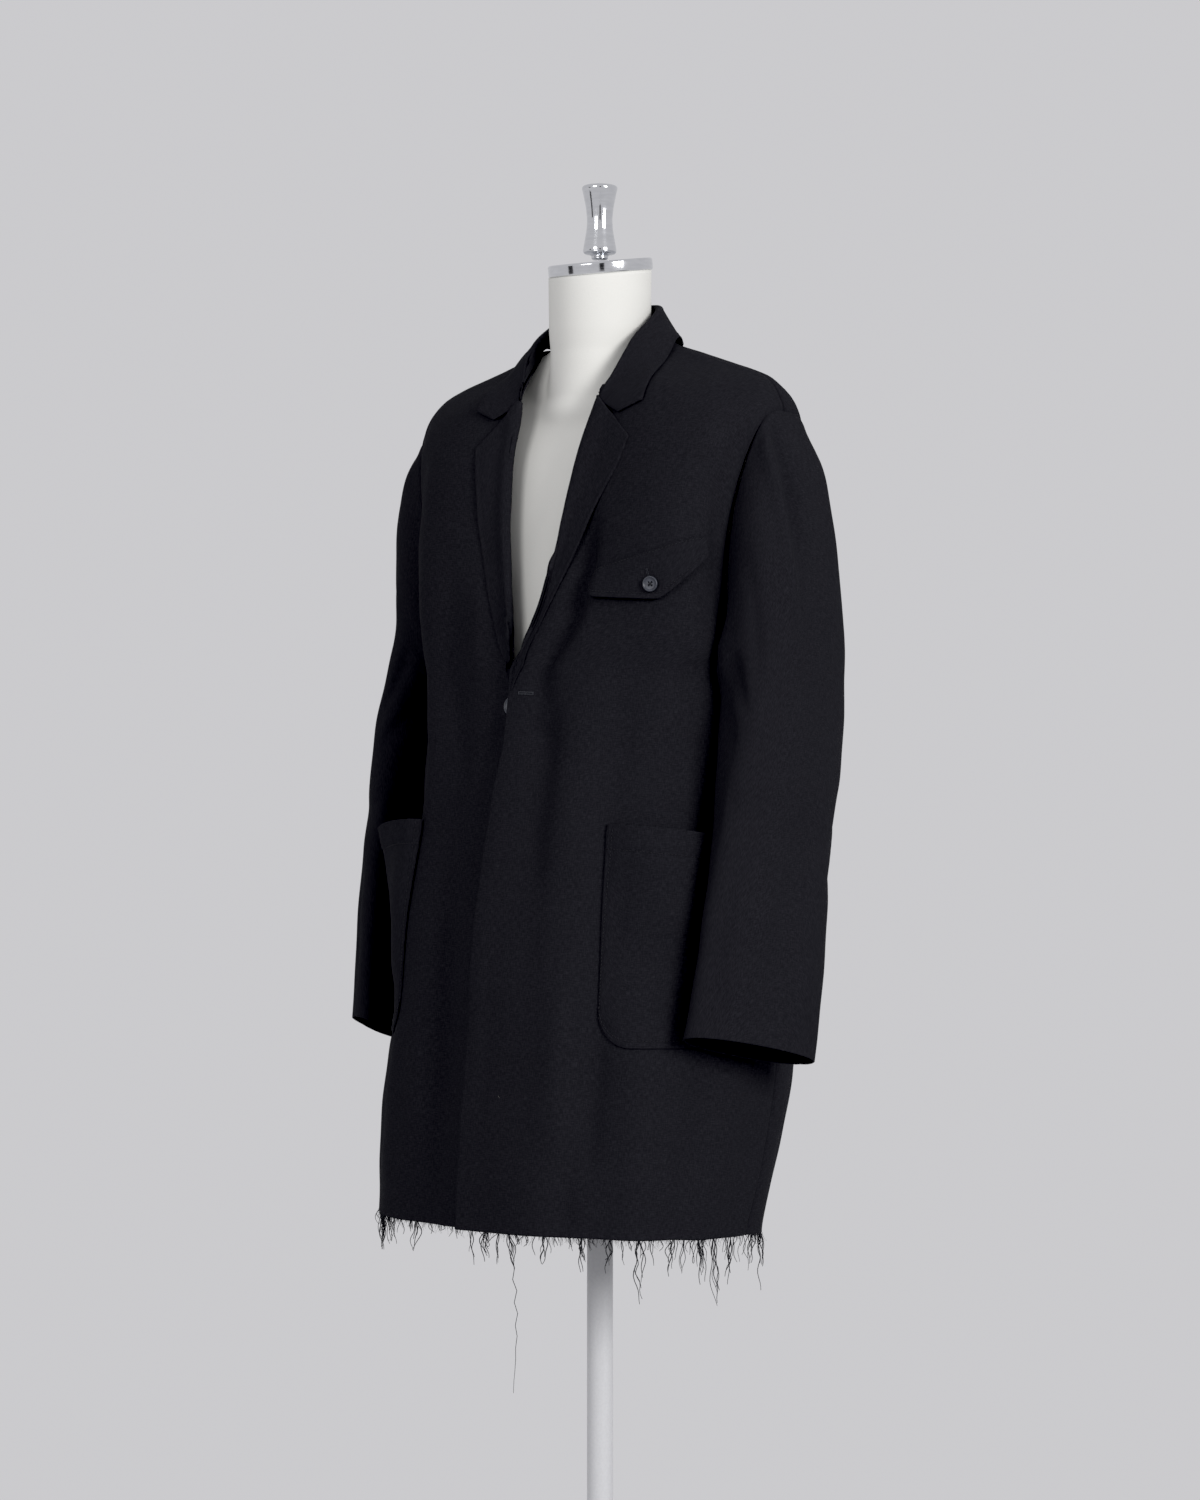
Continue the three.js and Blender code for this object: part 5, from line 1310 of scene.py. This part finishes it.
def stitches_along(points, normals, pitch=3.4, share=0.7, radius=0.34, lift=0.25):
    """Paths and radii of stitches along a line: one for each pitch, over a share of it, raised in its
    middle and sunk at its ends."""
    run = lengths(points, 0)
    count = int(run[-1] / pitch)
    starts = (np.arange(count) + (1 - share) / 2) * pitch
    at = starts[:, None] + np.linspace(0, share * pitch, 5)[None]
    place = np.stack([np.interp(at, run, points[:, k]) for k in range(3)], -1)
    normal = np.stack([np.interp(at, run, normals[:, k]) for k in range(3)], -1)
    arch = np.array([-0.25, lift * 0.8, lift, lift * 0.8, -0.25])
    radii = np.broadcast_to(radius * np.array([0.6, 1, 1, 1, 0.6]), at.shape)
    return place + normal * arch[None, :, None], radii


def line_on_grid(points, flip, rows, columns):
    """Points and normals along a path of fractional grid places."""
    normal = normals_of(points, flip)

    def at(grid):
        r = np.clip(np.floor(rows).astype(int), 0, grid.shape[0] - 2)
        c = np.clip(np.floor(columns).astype(int), 0, grid.shape[1] - 2)
        s, t = (columns - c)[:, None], (rows - r)[:, None]
        return mix(mix(grid[r, c], grid[r, c + 1], s), mix(grid[r + 1, c], grid[r + 1, c + 1], s), t)

    return at(points), at(normal)


def inset_line(points, flip, sides_used, inset):
    """A line on a grid at a distance inside its border, along its left, bottom, right or top side."""
    run, up = lengths(points, 1), lengths(points, 0)
    rows, columns = points.shape[:2]
    steps = np.linspace(0, 1, 220)
    parts = []
    for name in sides_used:
        if name in ("left", "right"):
            r = steps * (rows - 1)
            r = r[(r > 1) & (r < rows - 2)]
            whole = np.round(r).astype(int)
            target = inset if name == "left" else run[whole, -1] - inset
            target = np.broadcast_to(target, whole.shape)
            c = np.array([np.interp(at, run[k], np.arange(columns)) for at, k in zip(target, whole)])
        else:
            c = steps * (columns - 1)
            whole = np.round(c).astype(int)
            target = inset if name == "bottom" else up[-1, whole] - inset
            target = np.broadcast_to(target, whole.shape)
            r = np.array([np.interp(at, up[:, k], np.arange(rows)) for at, k in zip(target, whole)])
        parts.append(line_on_grid(points, flip, r, c))
    return parts


def sew(name, points, flip, lines, beside):
    """Stitches along several (sides, inset) lines of one piece, as one object."""
    paths, radii = [], []
    for sides_used, inset in lines:
        for place, normal in inset_line(points, flip, sides_used, inset):
            path, radius = stitches_along(place, normal)
            paths.append(path)
            radii.append(radius)
    paths, radii = np.concatenate(paths), np.concatenate(radii)
    return thread_piece(name, paths, radii, sewing_thread, beside)


# %% Sew the pockets and the flap
for side, word in ((1, "left"), (-1, "right")):
    lines = [(("left", "bottom", "right"), STITCH_INSET), (("top",), MOUTH_HEM)]
    sew(f"pocket_{word}_stitches", pockets[side], side, lines, f"pocket_{word}")
sew("flap_stitches", flap, 1, [(("top",), 2.4), (("bottom",), 5.5)], "chest_flap")

# %% [markdown]
# ## Buttons
#
# A button is turned from horn: a rounded rim, a dished middle and four holes, with thread crossed through
# them. The profile is turned about the button's own axis and then pressed in where the holes are.

# %% Build the buttons
HORN_COLOUR = (0.036, 0.039, 0.052)
FLAP_BUTTON_OUT = SEAT + CLOTH + 1.75 + 0.8
BUTTONS = {
    "flap_button": {"side": 1, "x": 131, "z": 1209, "radius": 7.5, "thickness": 3.0, "out": FLAP_BUTTON_OUT},
    "front_button": {"side": -1, "x": 17, "z": 1093, "radius": 9.5, "thickness": 3.2, "out": 0.6},
}


def make_horn():
    """Grey-blue horn with slow streaks and a soft polish."""
    material, nodes, links, shader = new_material("grey_horn")
    place = add_node(nodes, "ShaderNodeTexCoord").outputs["Object"]
    streak = noise_on(nodes, links, place, (1, 1, 0.3), 240.0, 4.0)
    colours = [(0.3, tuple(c * 0.75 for c in HORN_COLOUR)), (0.7, tuple(c * 1.25 for c in HORN_COLOUR))]
    links.new(ramp(nodes, links, streak, colours), shader.inputs["Base Color"])
    join_roughness(nodes, links, shader, streak, 0.3, 0.5)
    return material


horn = make_horn()


def button_frame(size):
    """Centre, axis and two directions across, from the front that the button sits on."""
    u, v = place_on_front(size["side"], size["x"], size["z"])
    h = 0.004
    du = front_points(size["side"], u + h, v) - front_points(size["side"], u - h, v)
    dv = front_points(size["side"], u, v + h) - front_points(size["side"], u, v - h)
    axis = np.cross(du, dv) * size["side"]
    axis /= np.linalg.norm(axis)
    across = np.cross((0, 0, 1.0), axis)
    across /= np.linalg.norm(across)
    centre = on_panel(size["side"], np.array([u]), np.array([v]), np.array([size["out"]]))[0]
    return centre, axis, across, np.cross(axis, across)


def build_button(name):
    """A turned profile with four holes pressed in, and two crossed threads."""
    size = BUTTONS[name]
    r, t = size["radius"], size["thickness"]
    centre, axis, across, up = button_frame(size)
    profile = table("r h", [
        (0, 0), (0.5, 0), (0.86, 0), (0.96, 0.12), (1, 0.4), (1, 0.72), (0.96, 0.92), (0.9, 1),
        (0.84, 0.97), (0.76, 0.8), (0.66, 0.69), (0.5, 0.64), (0.25, 0.62), (0, 0.62),
    ])
    step = np.linspace(0, len(profile["r"]) - 1, 66)
    profile["k"] = np.arange(len(profile["r"]), dtype=float)
    radius = np.maximum(read(profile, "k", "r", step), 0) * r
    height = read(profile, "k", "h", step) * t
    radius[[0, -1]] = 0
    turn = np.linspace(0, 2 * np.pi, 64, endpoint=False)
    x = radius[:, None] * np.cos(turn)
    y = radius[:, None] * np.sin(turn)
    z = np.repeat(height[:, None], len(turn), 1)
    hole = 0.2 * r
    upper = step[:, None] > 8
    for sx in (-1, 1):
        for sy in (-1, 1):
            gap = np.hypot(x - sx * hole, y - sy * hole)
            z = z - np.where(upper, t * 0.45 * (1 - smoothstep((gap - 0.085 * r) / (0.05 * r))), 0)
    points = centre + x[..., None] * across + y[..., None] * up + z[..., None] * axis
    index = np.arange(points[..., 0].size).reshape(points.shape[:2])
    index[0], index[-1] = index[0, 0], index[-1, 0]
    closed = np.concatenate([index, index[:, :1]], 1)
    faces = grid_faces(closed)
    around = len(turn)
    ends = np.concatenate([faces[:around][:, [0, 2, 3]], faces[-around:][:, [0, 1, 2]]])
    faces = [faces[around:-around][:, ::-1], ends[:, ::-1]]
    piece = new_piece(name + "_horn", points.reshape(-1, 3), faces, horn)
    recalculate(piece)
    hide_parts(name)
    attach(piece, "root")
    ends = np.array([[-1, -1], [1, 1]]) * hole
    paths = []
    for shift in (-0.25, 0.25):
        for flip in (1, -1):
            line = np.linspace(0, 1, 7)[:, None]
            flat = mix(ends[0] * (1, flip), ends[1] * (1, flip), line) + (shift, -shift * flip)
            lift = t * 0.62 + 0.5 * np.sin(np.pi * line[:, 0]) - 0.8 * np.abs(2 * line[:, 0] - 1) ** 6
            paths.append(centre + flat[:, :1] * across + flat[:, 1:] * up + lift[:, None] * axis)
    paths = np.array(paths)
    thread_piece(name + "_thread", paths, np.full(paths.shape[:2], 0.3), sewing_thread, name, 6)
    return piece


def recalculate(piece):
    """Drops unused points and turns all faces outwards."""
    work = bmesh.new()
    work.from_mesh(piece.data)
    loose = [vertex for vertex in work.verts if not vertex.link_faces]
    bmesh.ops.delete(work, geom=loose, context="VERTS")
    bmesh.ops.recalc_face_normals(work, faces=work.faces)
    work.to_mesh(piece.data)
    work.free()


for name in BUTTONS:
    print("button", build_button(name).name)

# %% [markdown]
# ## Buttonholes and lint
#
# The front's buttonhole is a slit edged with close bars of grey thread. The flap's runs up from its
# button. A few pale fibres of lint lie on the wool, as on any black coat.

# %% Buttonholes
def buttonhole(name, side, start, end, width, out, beside, bars, radius=0.3):
    """Bars of thread across a slit between two (x, z) places, and one bar along each end."""
    a, b = np.array(start, float), np.array(end, float)
    along = (b - a) / np.linalg.norm(b - a)
    across = np.array([-along[1], along[0]])
    paths = []
    for share in np.linspace(0, 1, bars):
        for half in (-1, 1):
            line = np.linspace(0.25, 1, 5)[:, None] * half * width / 2
            flat = mix(a, b, share) + line * across
            u, v = place_on_front(side, flat[:, 0], flat[:, 1])
            paths.append(on_panel(side, u, v, out + np.array([-0.1, 0.3, 0.4, 0.3, -0.2])))
    for tip in (a, b):
        flat = tip + np.linspace(-0.5, 0.5, 5)[:, None] * width * across
        u, v = place_on_front(side, flat[:, 0], flat[:, 1])
        paths.append(on_panel(side, u, v, out + np.array([-0.1, 0.4, 0.5, 0.4, -0.1])))
    paths = np.array(paths)
    return thread_piece(name, paths, np.full(paths.shape[:2], radius), buttonhole_thread, beside)


buttonhole("front_buttonhole", 1, (-6.5, 1106), (8.5, 1106), 3.0, 0.1, "front_left", 19)
flap_face = SEAT + 0.5 + CLOTH + 0.9
buttonhole("flap_buttonhole", 1, (127, 1223), (129.5, 1214), 1.8, flap_face, "chest_flap", 11, 0.22)

# %% Lint
LINT_OUT = 0.35
LINT = [(-1, 8, 905), (-1, -1, 838), (1, 128, 905), (1, 22, 720)]


def lint():
    """Short pale fibres that curl on the fronts."""
    random = np.random.default_rng(4)
    paths = []
    for side, x, z in LINT:
        turn = random.uniform(0, 2 * np.pi)
        line = np.linspace(-1, 1, 9)
        length = random.uniform(0.8, 1.7)
        flat_x = x + length * line * np.cos(turn) + 0.6 * np.sin(line * 3)
        flat_z = z + length * line * np.sin(turn)
        u, v = place_on_front(side, flat_x, flat_z)
        paths.append(on_panel(side, u, v, np.full(u.shape, LINT_OUT)))
    paths = np.array(paths)
    return thread_piece("lint", paths, np.full(paths.shape[:2], 0.14), lint_fibre, "fronts")


lint()

# %% [markdown]
# ## Fringe of the raw hem
#
# The hem is cut and never sewn, so yarns have worked loose. Some hang alone, some cling together in tufts
# that taper to a point, and one long yarn hangs far below the rest. A fine fuzz covers the edge between
# them. The yarns of a tuft twist round one line, and here and there a yarn hangs in a loop.

# %% Yarns of the fringe
FRINGE = {"thickness": 1.2, "inset": 0.4, "short": 7, "medium": 26}
LONG_YARNS = {
    "fringe_left": [
        (0.045, 32, 3), (0.105, 150, 6), (0.21, 30, -2), (0.33, 34, 2), (0.44, 38, -3), (0.56, 62, 3),
        (0.7, 42, -4), (0.83, 50, 3), (0.9, 66, 5), (0.96, 48, -2),
    ],
    "fringe_right": [(0.24, 30, -3), (0.5, 36, 2), (0.78, 58, -3), (0.82, 44, 4), (0.93, 40, 2)],
    "fringe_back": [
        (0.06, 44, 3), (0.19, 36, -3), (0.34, 52, 4), (0.52, 40, -2), (0.66, 60, 3), (0.8, 38, -3),
        (0.94, 56, 3),
    ],
}
LOOPS = {
    "fringe_left": [(0.03, 26, 14), (0.12, 14, 9), (0.77, 13, 22)],
    "fringe_right": [],
    "fringe_back": [(0.42, 15, 17)],
}
FUZZ_PER_METRE = 1200


def front_rim(side):
    panel = panels[side]
    return panel["u"], panel["points"][0], panel["normals"][0]


def back_rim():
    run = lengths(back_grid[:1], 1)[0]
    return run / run[-1], back_grid[0], normals_of(back_grid, -1)[0]


def make_fringe(node, rim, count, seed):
    """Bundles of yarn along a hem. Each yarn's path is a line from its root to its end, plus a slow bend
    and a helix whose radius swells in the middle, so that a bundle opens and closes again."""
    share, points, normals = rim
    random = np.random.default_rng(seed)

    def at(place):
        p = np.stack([np.interp(place, share, points[:, k]) for k in range(3)], -1)
        n = np.stack([np.interp(place, share, normals[:, k]) for k in range(3)], -1)
        return p, n

    paths, radii = [], []
    steps = 15
    t = np.linspace(0, 1, steps)

    def yarn(place, length, drift, swing, radius, bend, loose):
        root, normal = at(place)
        root = root - normal * (FRINGE["inset"] + FRINGE["thickness"] / 2) + (0, 0, 0.6)
        end = root + (drift, swing, -length)
        phase = random.uniform(0, 2 * np.pi)
        turns = random.uniform(0.5, 1.3) * length / 24
        swell = loose * (0.35 + np.sin(np.pi * t))
        path = mix(root, end, t[:, None])
        angle = turns * 2 * np.pi * t + phase
        path[:, 0] += bend * np.sin(np.pi * t) + swell * np.cos(angle) - swell[0] * np.cos(phase)
        path[:, 1] += swell * np.sin(angle) - swell[0] * np.sin(phase)
        path[:, 2] = np.minimum(path[:, 2], root[2])
        paths.append(path)
        radii.append(radius * (1 - 0.5 * t**2))

    for k in range(count):
        place = (k + random.uniform(0.2, 0.8)) / count
        length = mix(FRINGE["short"], FRINGE["medium"], random.uniform(0, 1) ** 2)
        lean = random.uniform(-2.5, 2.5)
        for _ in range(random.integers(1, 4)):
            yarn(place + random.normal() * 0.0014, length * random.uniform(0.8, 1.6),
                 lean + random.normal() * 1.6, random.uniform(-2, 2), random.uniform(0.36, 0.5),
                 random.normal() * 2.6, 0.9)
    for place, length, drift in LONG_YARNS[node]:
        if length > 100:
            yarn(place, length, drift, -1.5, 0.4, 6, 1.4)
            length = 40
        for _ in range(5):
            yarn(place + random.normal() * 0.002, length * random.uniform(0.5, 1),
                 drift + random.normal() * 1.2, random.uniform(-3, 1), random.uniform(0.45, 0.62),
                 random.normal() * 2.6, 1.3)
    for place, width, drop in LOOPS[node]:
        root, _ = at(place)
        across = width * (t + 0.25 * np.sin(2 * np.pi * t))
        paths.append(root + np.stack([across, -2 * t, 0.5 - drop * np.sin(np.pi * t)], -1))
        radii.append(0.36 + 0 * t)
    hem = lengths(points[None], 1)[0, -1] * MM
    for _ in range(int(FUZZ_PER_METRE * hem)):
        place = random.uniform(0.002, 0.998)
        length = 2 + 8 * random.uniform(0, 1) ** 2.2
        yarn(place, length, random.normal() * length * 0.35, random.normal() * length * 0.25,
             random.uniform(0.1, 0.18), random.normal() * 0.8, 0.25)
    paths, radii = np.array(paths), np.array(radii)
    points, faces = tube_mesh(paths, radii, 3)
    piece = new_piece(node + "_yarns", points, faces, frayed_thread)
    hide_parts(node)
    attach(piece, "root")
    print(piece.name, len(paths), "yarns,", len(piece.data.polygons), "faces")


make_fringe("fringe_left", front_rim(1), 30, 7)
make_fringe("fringe_right", front_rim(-1), 24, 11)
make_fringe("fringe_back", back_rim(), 48, 5)

# %% [markdown]
# ## Dress form
#
# The form is a smooth torso covered in ivory cloth, with no arms. Its rows are rounded squares that
# grow into a round neck. Covering cloth is stretched over it, so its weave is fine and nothing creases.

# %% Build the dress form
FORM_COLUMNS = "z half front back square neck tilt"
FORM = table(FORM_COLUMNS, [
    (752, 140, -112, 100, 2.3, 1, 0), (850, 152, -116, 112, 2.3, 1, 0), (950, 146, -104, 104, 2.2, 1, 0),
    (1050, 138, -94, 92, 2.2, 1, 0), (1130, 142, -92, 98, 2.2, 1, 0), (1210, 146, -86, 106, 2.2, 1, 0),
    (1290, 152, -76, 104, 2.2, 1, 0), (1340, 166, -64, 88, 2.2, 30, 0), (1380.5, 176, -44, 66, 2, 56, 0),
    (1402.6, 174, -30, 52, 1.8, 53, 0), (1417.8, 158, -24, 46, 1.6, 52, 0),
    (1434.8, 115, -15, 44, 1.6, 51.5, 0), (1445.8, 77, -13, 40, 1.6, 51, 0),
    (1455, 54, -12, 30, 1.8, 51, 0), (1474, 20, -20, 20, 2, 51, 0), (1526, 20, -20, 20, 2, 51.5, 0.15),
])
FORM_SINK = 1.6


def form_points():
    """Rings of the form. The torso's radius solves |x / half|^n + |y / depth|^n = 1 for each direction, and
    is joined with the neck's round one by an eighth-power mean."""
    k = np.concatenate([np.linspace(0, 7, 64)[:-1], np.linspace(7, len(FORM["z"]) - 1, 120)])
    FORM["k"] = np.arange(len(FORM["z"]), dtype=float)
    value = {name: read(FORM, "k", name, k)[:, None] for name in FORM_COLUMNS.split()}
    angle = np.linspace(0, 2 * np.pi, 128, endpoint=False)[None]
    sin, cos = np.sin(angle), np.cos(angle)
    reach = np.where(cos > 0, value["back"], -value["front"])
    n = value["square"]
    trunk = (np.abs(sin / value["half"]) ** n + np.abs(cos / reach) ** n) ** (-1 / n)
    radius = (trunk**8 + np.maximum(value["neck"], 1) ** 8) ** (1 / 8)
    radius = radius - FORM_SINK * smoothstep((1470 - value["z"]) / 25)
    y = radius * cos
    return np.stack([radius * sin, y, value["z"] + value["tilt"] * y], -1)


def closed_rings(name, rings, material, node):
    """A surface from rings of points, closed by one point in the middle of its first and last ring."""
    rows, around = rings.shape[:2]
    index = np.arange(rows * around).reshape(rows, around)
    index = np.concatenate([index, index[:, :1]], 1)
    points = np.concatenate([rings.reshape(-1, 3), rings[:1].mean(1), rings[-1:].mean(1)])
    low, high = rows * around, rows * around + 1
    caps = np.concatenate([
        np.stack([index[0, 1:], index[0, :-1], np.full(around, low)], -1),
        np.stack([index[-1, :-1], index[-1, 1:], np.full(around, high)], -1),
    ])
    piece = new_piece(name, points, [grid_faces(index), caps], material)
    recalculate(piece)
    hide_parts(node)
    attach(piece, "root")
    print(name, len(piece.data.polygons), "faces")
    return piece


def make_cover():
    """Ivory cloth cover: a fine weave, and a little warmth where hands touch it."""
    material, nodes, links, shader = new_material("ivory_cover")
    place = add_node(nodes, "ShaderNodeTexCoord").outputs["Object"]
    tone = noise_on(nodes, links, place, (1, 1, 1), 9.0, 3.0)
    weave = noise_on(nodes, links, place, (1, 1, 2.2), 700.0, 2.0)
    mixed = blend(nodes, links, blend(nodes, links, tone, 0.7, "MULTIPLY"),
                  blend(nodes, links, weave, 0.3, "MULTIPLY"))
    colours = [(0.35, (0.765, 0.758, 0.72)), (0.65, (0.82, 0.812, 0.772))]
    links.new(ramp(nodes, links, mixed, colours), shader.inputs["Base Color"])
    join_bump(nodes, links, shader, weave, 0.25, 0.0004)
    shader.inputs["Roughness"].default_value = 0.8
    shader.inputs["Specular IOR Level"].default_value = 0.25
    return material


cover = make_cover()
closed_rings("dress_form_cover", form_points(), cover, "dress_form")

# %% [markdown]
# ## Cap, knob, pole and base
#
# The metal parts are turned, so each is one profile spun about its axis. Cap and knob are chromed. Chrome
# needs fine polish marks to look like metal: a faint noise in its roughness does that. The photograph shows
# no stand, so the pole and the base are plain and painted as pale as the room.

# %% Build the metal parts
def make_chrome():
    """Polished chrome with faint wipe marks."""
    material, nodes, links, shader = new_material("polished_chrome")
    place = add_node(nodes, "ShaderNodeTexCoord").outputs["Object"]
    marks = noise_on(nodes, links, place, (1, 1, 6), 60.0, 4.0)
    join_roughness(nodes, links, shader, marks, 0.05, 0.16)
    colours = [(0.3, (0.66, 0.67, 0.69)), (0.7, (0.74, 0.75, 0.77))]
    links.new(ramp(nodes, links, marks, colours), shader.inputs["Base Color"])
    shader.inputs["Metallic"].default_value = 1.0
    return material


def make_paint():
    """Pale powder coat with a fine orange-peel bump."""
    material, nodes, links, shader = new_material("pale_powder_coat")
    place = add_node(nodes, "ShaderNodeTexCoord").outputs["Object"]
    peel = noise_on(nodes, links, place, (1, 1, 1), 380.0, 2.0)
    colours = [(0.3, (0.63, 0.63, 0.64)), (0.7, (0.67, 0.67, 0.68))]
    links.new(ramp(nodes, links, peel, colours), shader.inputs["Base Color"])
    join_bump(nodes, links, shader, peel, 0.08, 0.0003)
    shader.inputs["Roughness"].default_value = 0.45
    return material


chrome = make_chrome()
paint = make_paint()


def rounded(profile, radius=0.8):
    """A profile of (r, h) corners with each inner corner turned into a short curve: a quadratic from a
    point before it to a point after it."""
    profile = np.array(profile, float)
    out = [profile[0]]
    for before, corner, after in zip(profile[:-2], profile[1:-1], profile[2:]):
        a = corner + (before - corner) * min(0.45, radius / max(np.linalg.norm(before - corner), 1e-6))
        b = corner + (after - corner) * min(0.45, radius / max(np.linalg.norm(after - corner), 1e-6))
        t = np.linspace(0, 1, 5)[:, None]
        out.extend((1 - t) ** 2 * a + 2 * t * (1 - t) * corner + t**2 * b)
    out.append(profile[-1])
    return np.array(out)


def turned(name, profile, node, around=96, tilt=0.0, place=(0, 0, 0), material=chrome):
    """A profile spun about the vertical axis, tilted about X and moved to its place."""
    angle = np.linspace(0, 2 * np.pi, around, endpoint=False)
    r, h = profile[:, :1], profile[:, 1:]
    x, y, z = r * np.cos(angle), r * np.sin(angle), h + 0 * angle
    sin, cos = math.sin(tilt), math.cos(tilt)
    rings = np.stack([x, y * cos - z * sin, y * sin + z * cos], -1)
    return closed_rings(name, rings + np.array(place), material, node)


CAP = {"radius": 52.5, "height": 12, "y": 1.5, "tilt": 0.149}
KNOB = [
    (8.4, 0), (8.4, 5), (15.5, 5.8), (17, 8.5), (16, 14), (13.2, 30), (12.6, 40), (13.8, 52), (17, 68),
    (18, 71), (17, 74), (8, 75.6),
]
AXIS_RADIUS = 2
POLE_RADIUS = 13
BASE = {"radius": 150, "height": 12, "edge": 2, "collar": 22, "collar_height": 40}
cap_z = FORM["z"][-1] + SEAM
cap_profile = rounded([
    (AXIS_RADIUS, 0), (CAP["radius"] - 1, 0), (CAP["radius"], 1), (CAP["radius"], CAP["height"] - 1.5),
    (CAP["radius"] - 1.5, CAP["height"]), (AXIS_RADIUS, CAP["height"]),
])
turned("neck_cap_chrome", cap_profile, "neck_cap", 128, CAP["tilt"], (0, CAP["y"], cap_z))
knob_z = cap_z + CAP["height"] + 8.4 * CAP["tilt"] + SEAM
turned("knob_chrome", rounded([(AXIS_RADIUS, 0), *KNOB], 3.0), "knob", 96, 0.0, (0, CAP["y"] - 2, knob_z))
pole_foot, pole_top = BASE["height"] + SEAM, FORM["z"][0] - SEAM
pole_profile = rounded([
    (AXIS_RADIUS, pole_foot), (POLE_RADIUS, pole_foot), (POLE_RADIUS, pole_top), (AXIS_RADIUS, pole_top),
])
turned("pole_paint", pole_profile, "pole", 64, material=paint)
inside = POLE_RADIUS + SEAM
base_profile = rounded([
    (AXIS_RADIUS, 0), (BASE["radius"] - BASE["edge"], 0), (BASE["radius"], BASE["edge"]),
    (BASE["radius"], BASE["height"] - BASE["edge"]), (BASE["radius"] - BASE["edge"], BASE["height"]),
    (BASE["collar"], BASE["height"]), (BASE["collar"], BASE["collar_height"]),
    (inside, BASE["collar_height"]), (inside, BASE["height"]), (AXIS_RADIUS, BASE["height"]),
])
turned("base_paint", base_profile, "base", 160, material=paint)
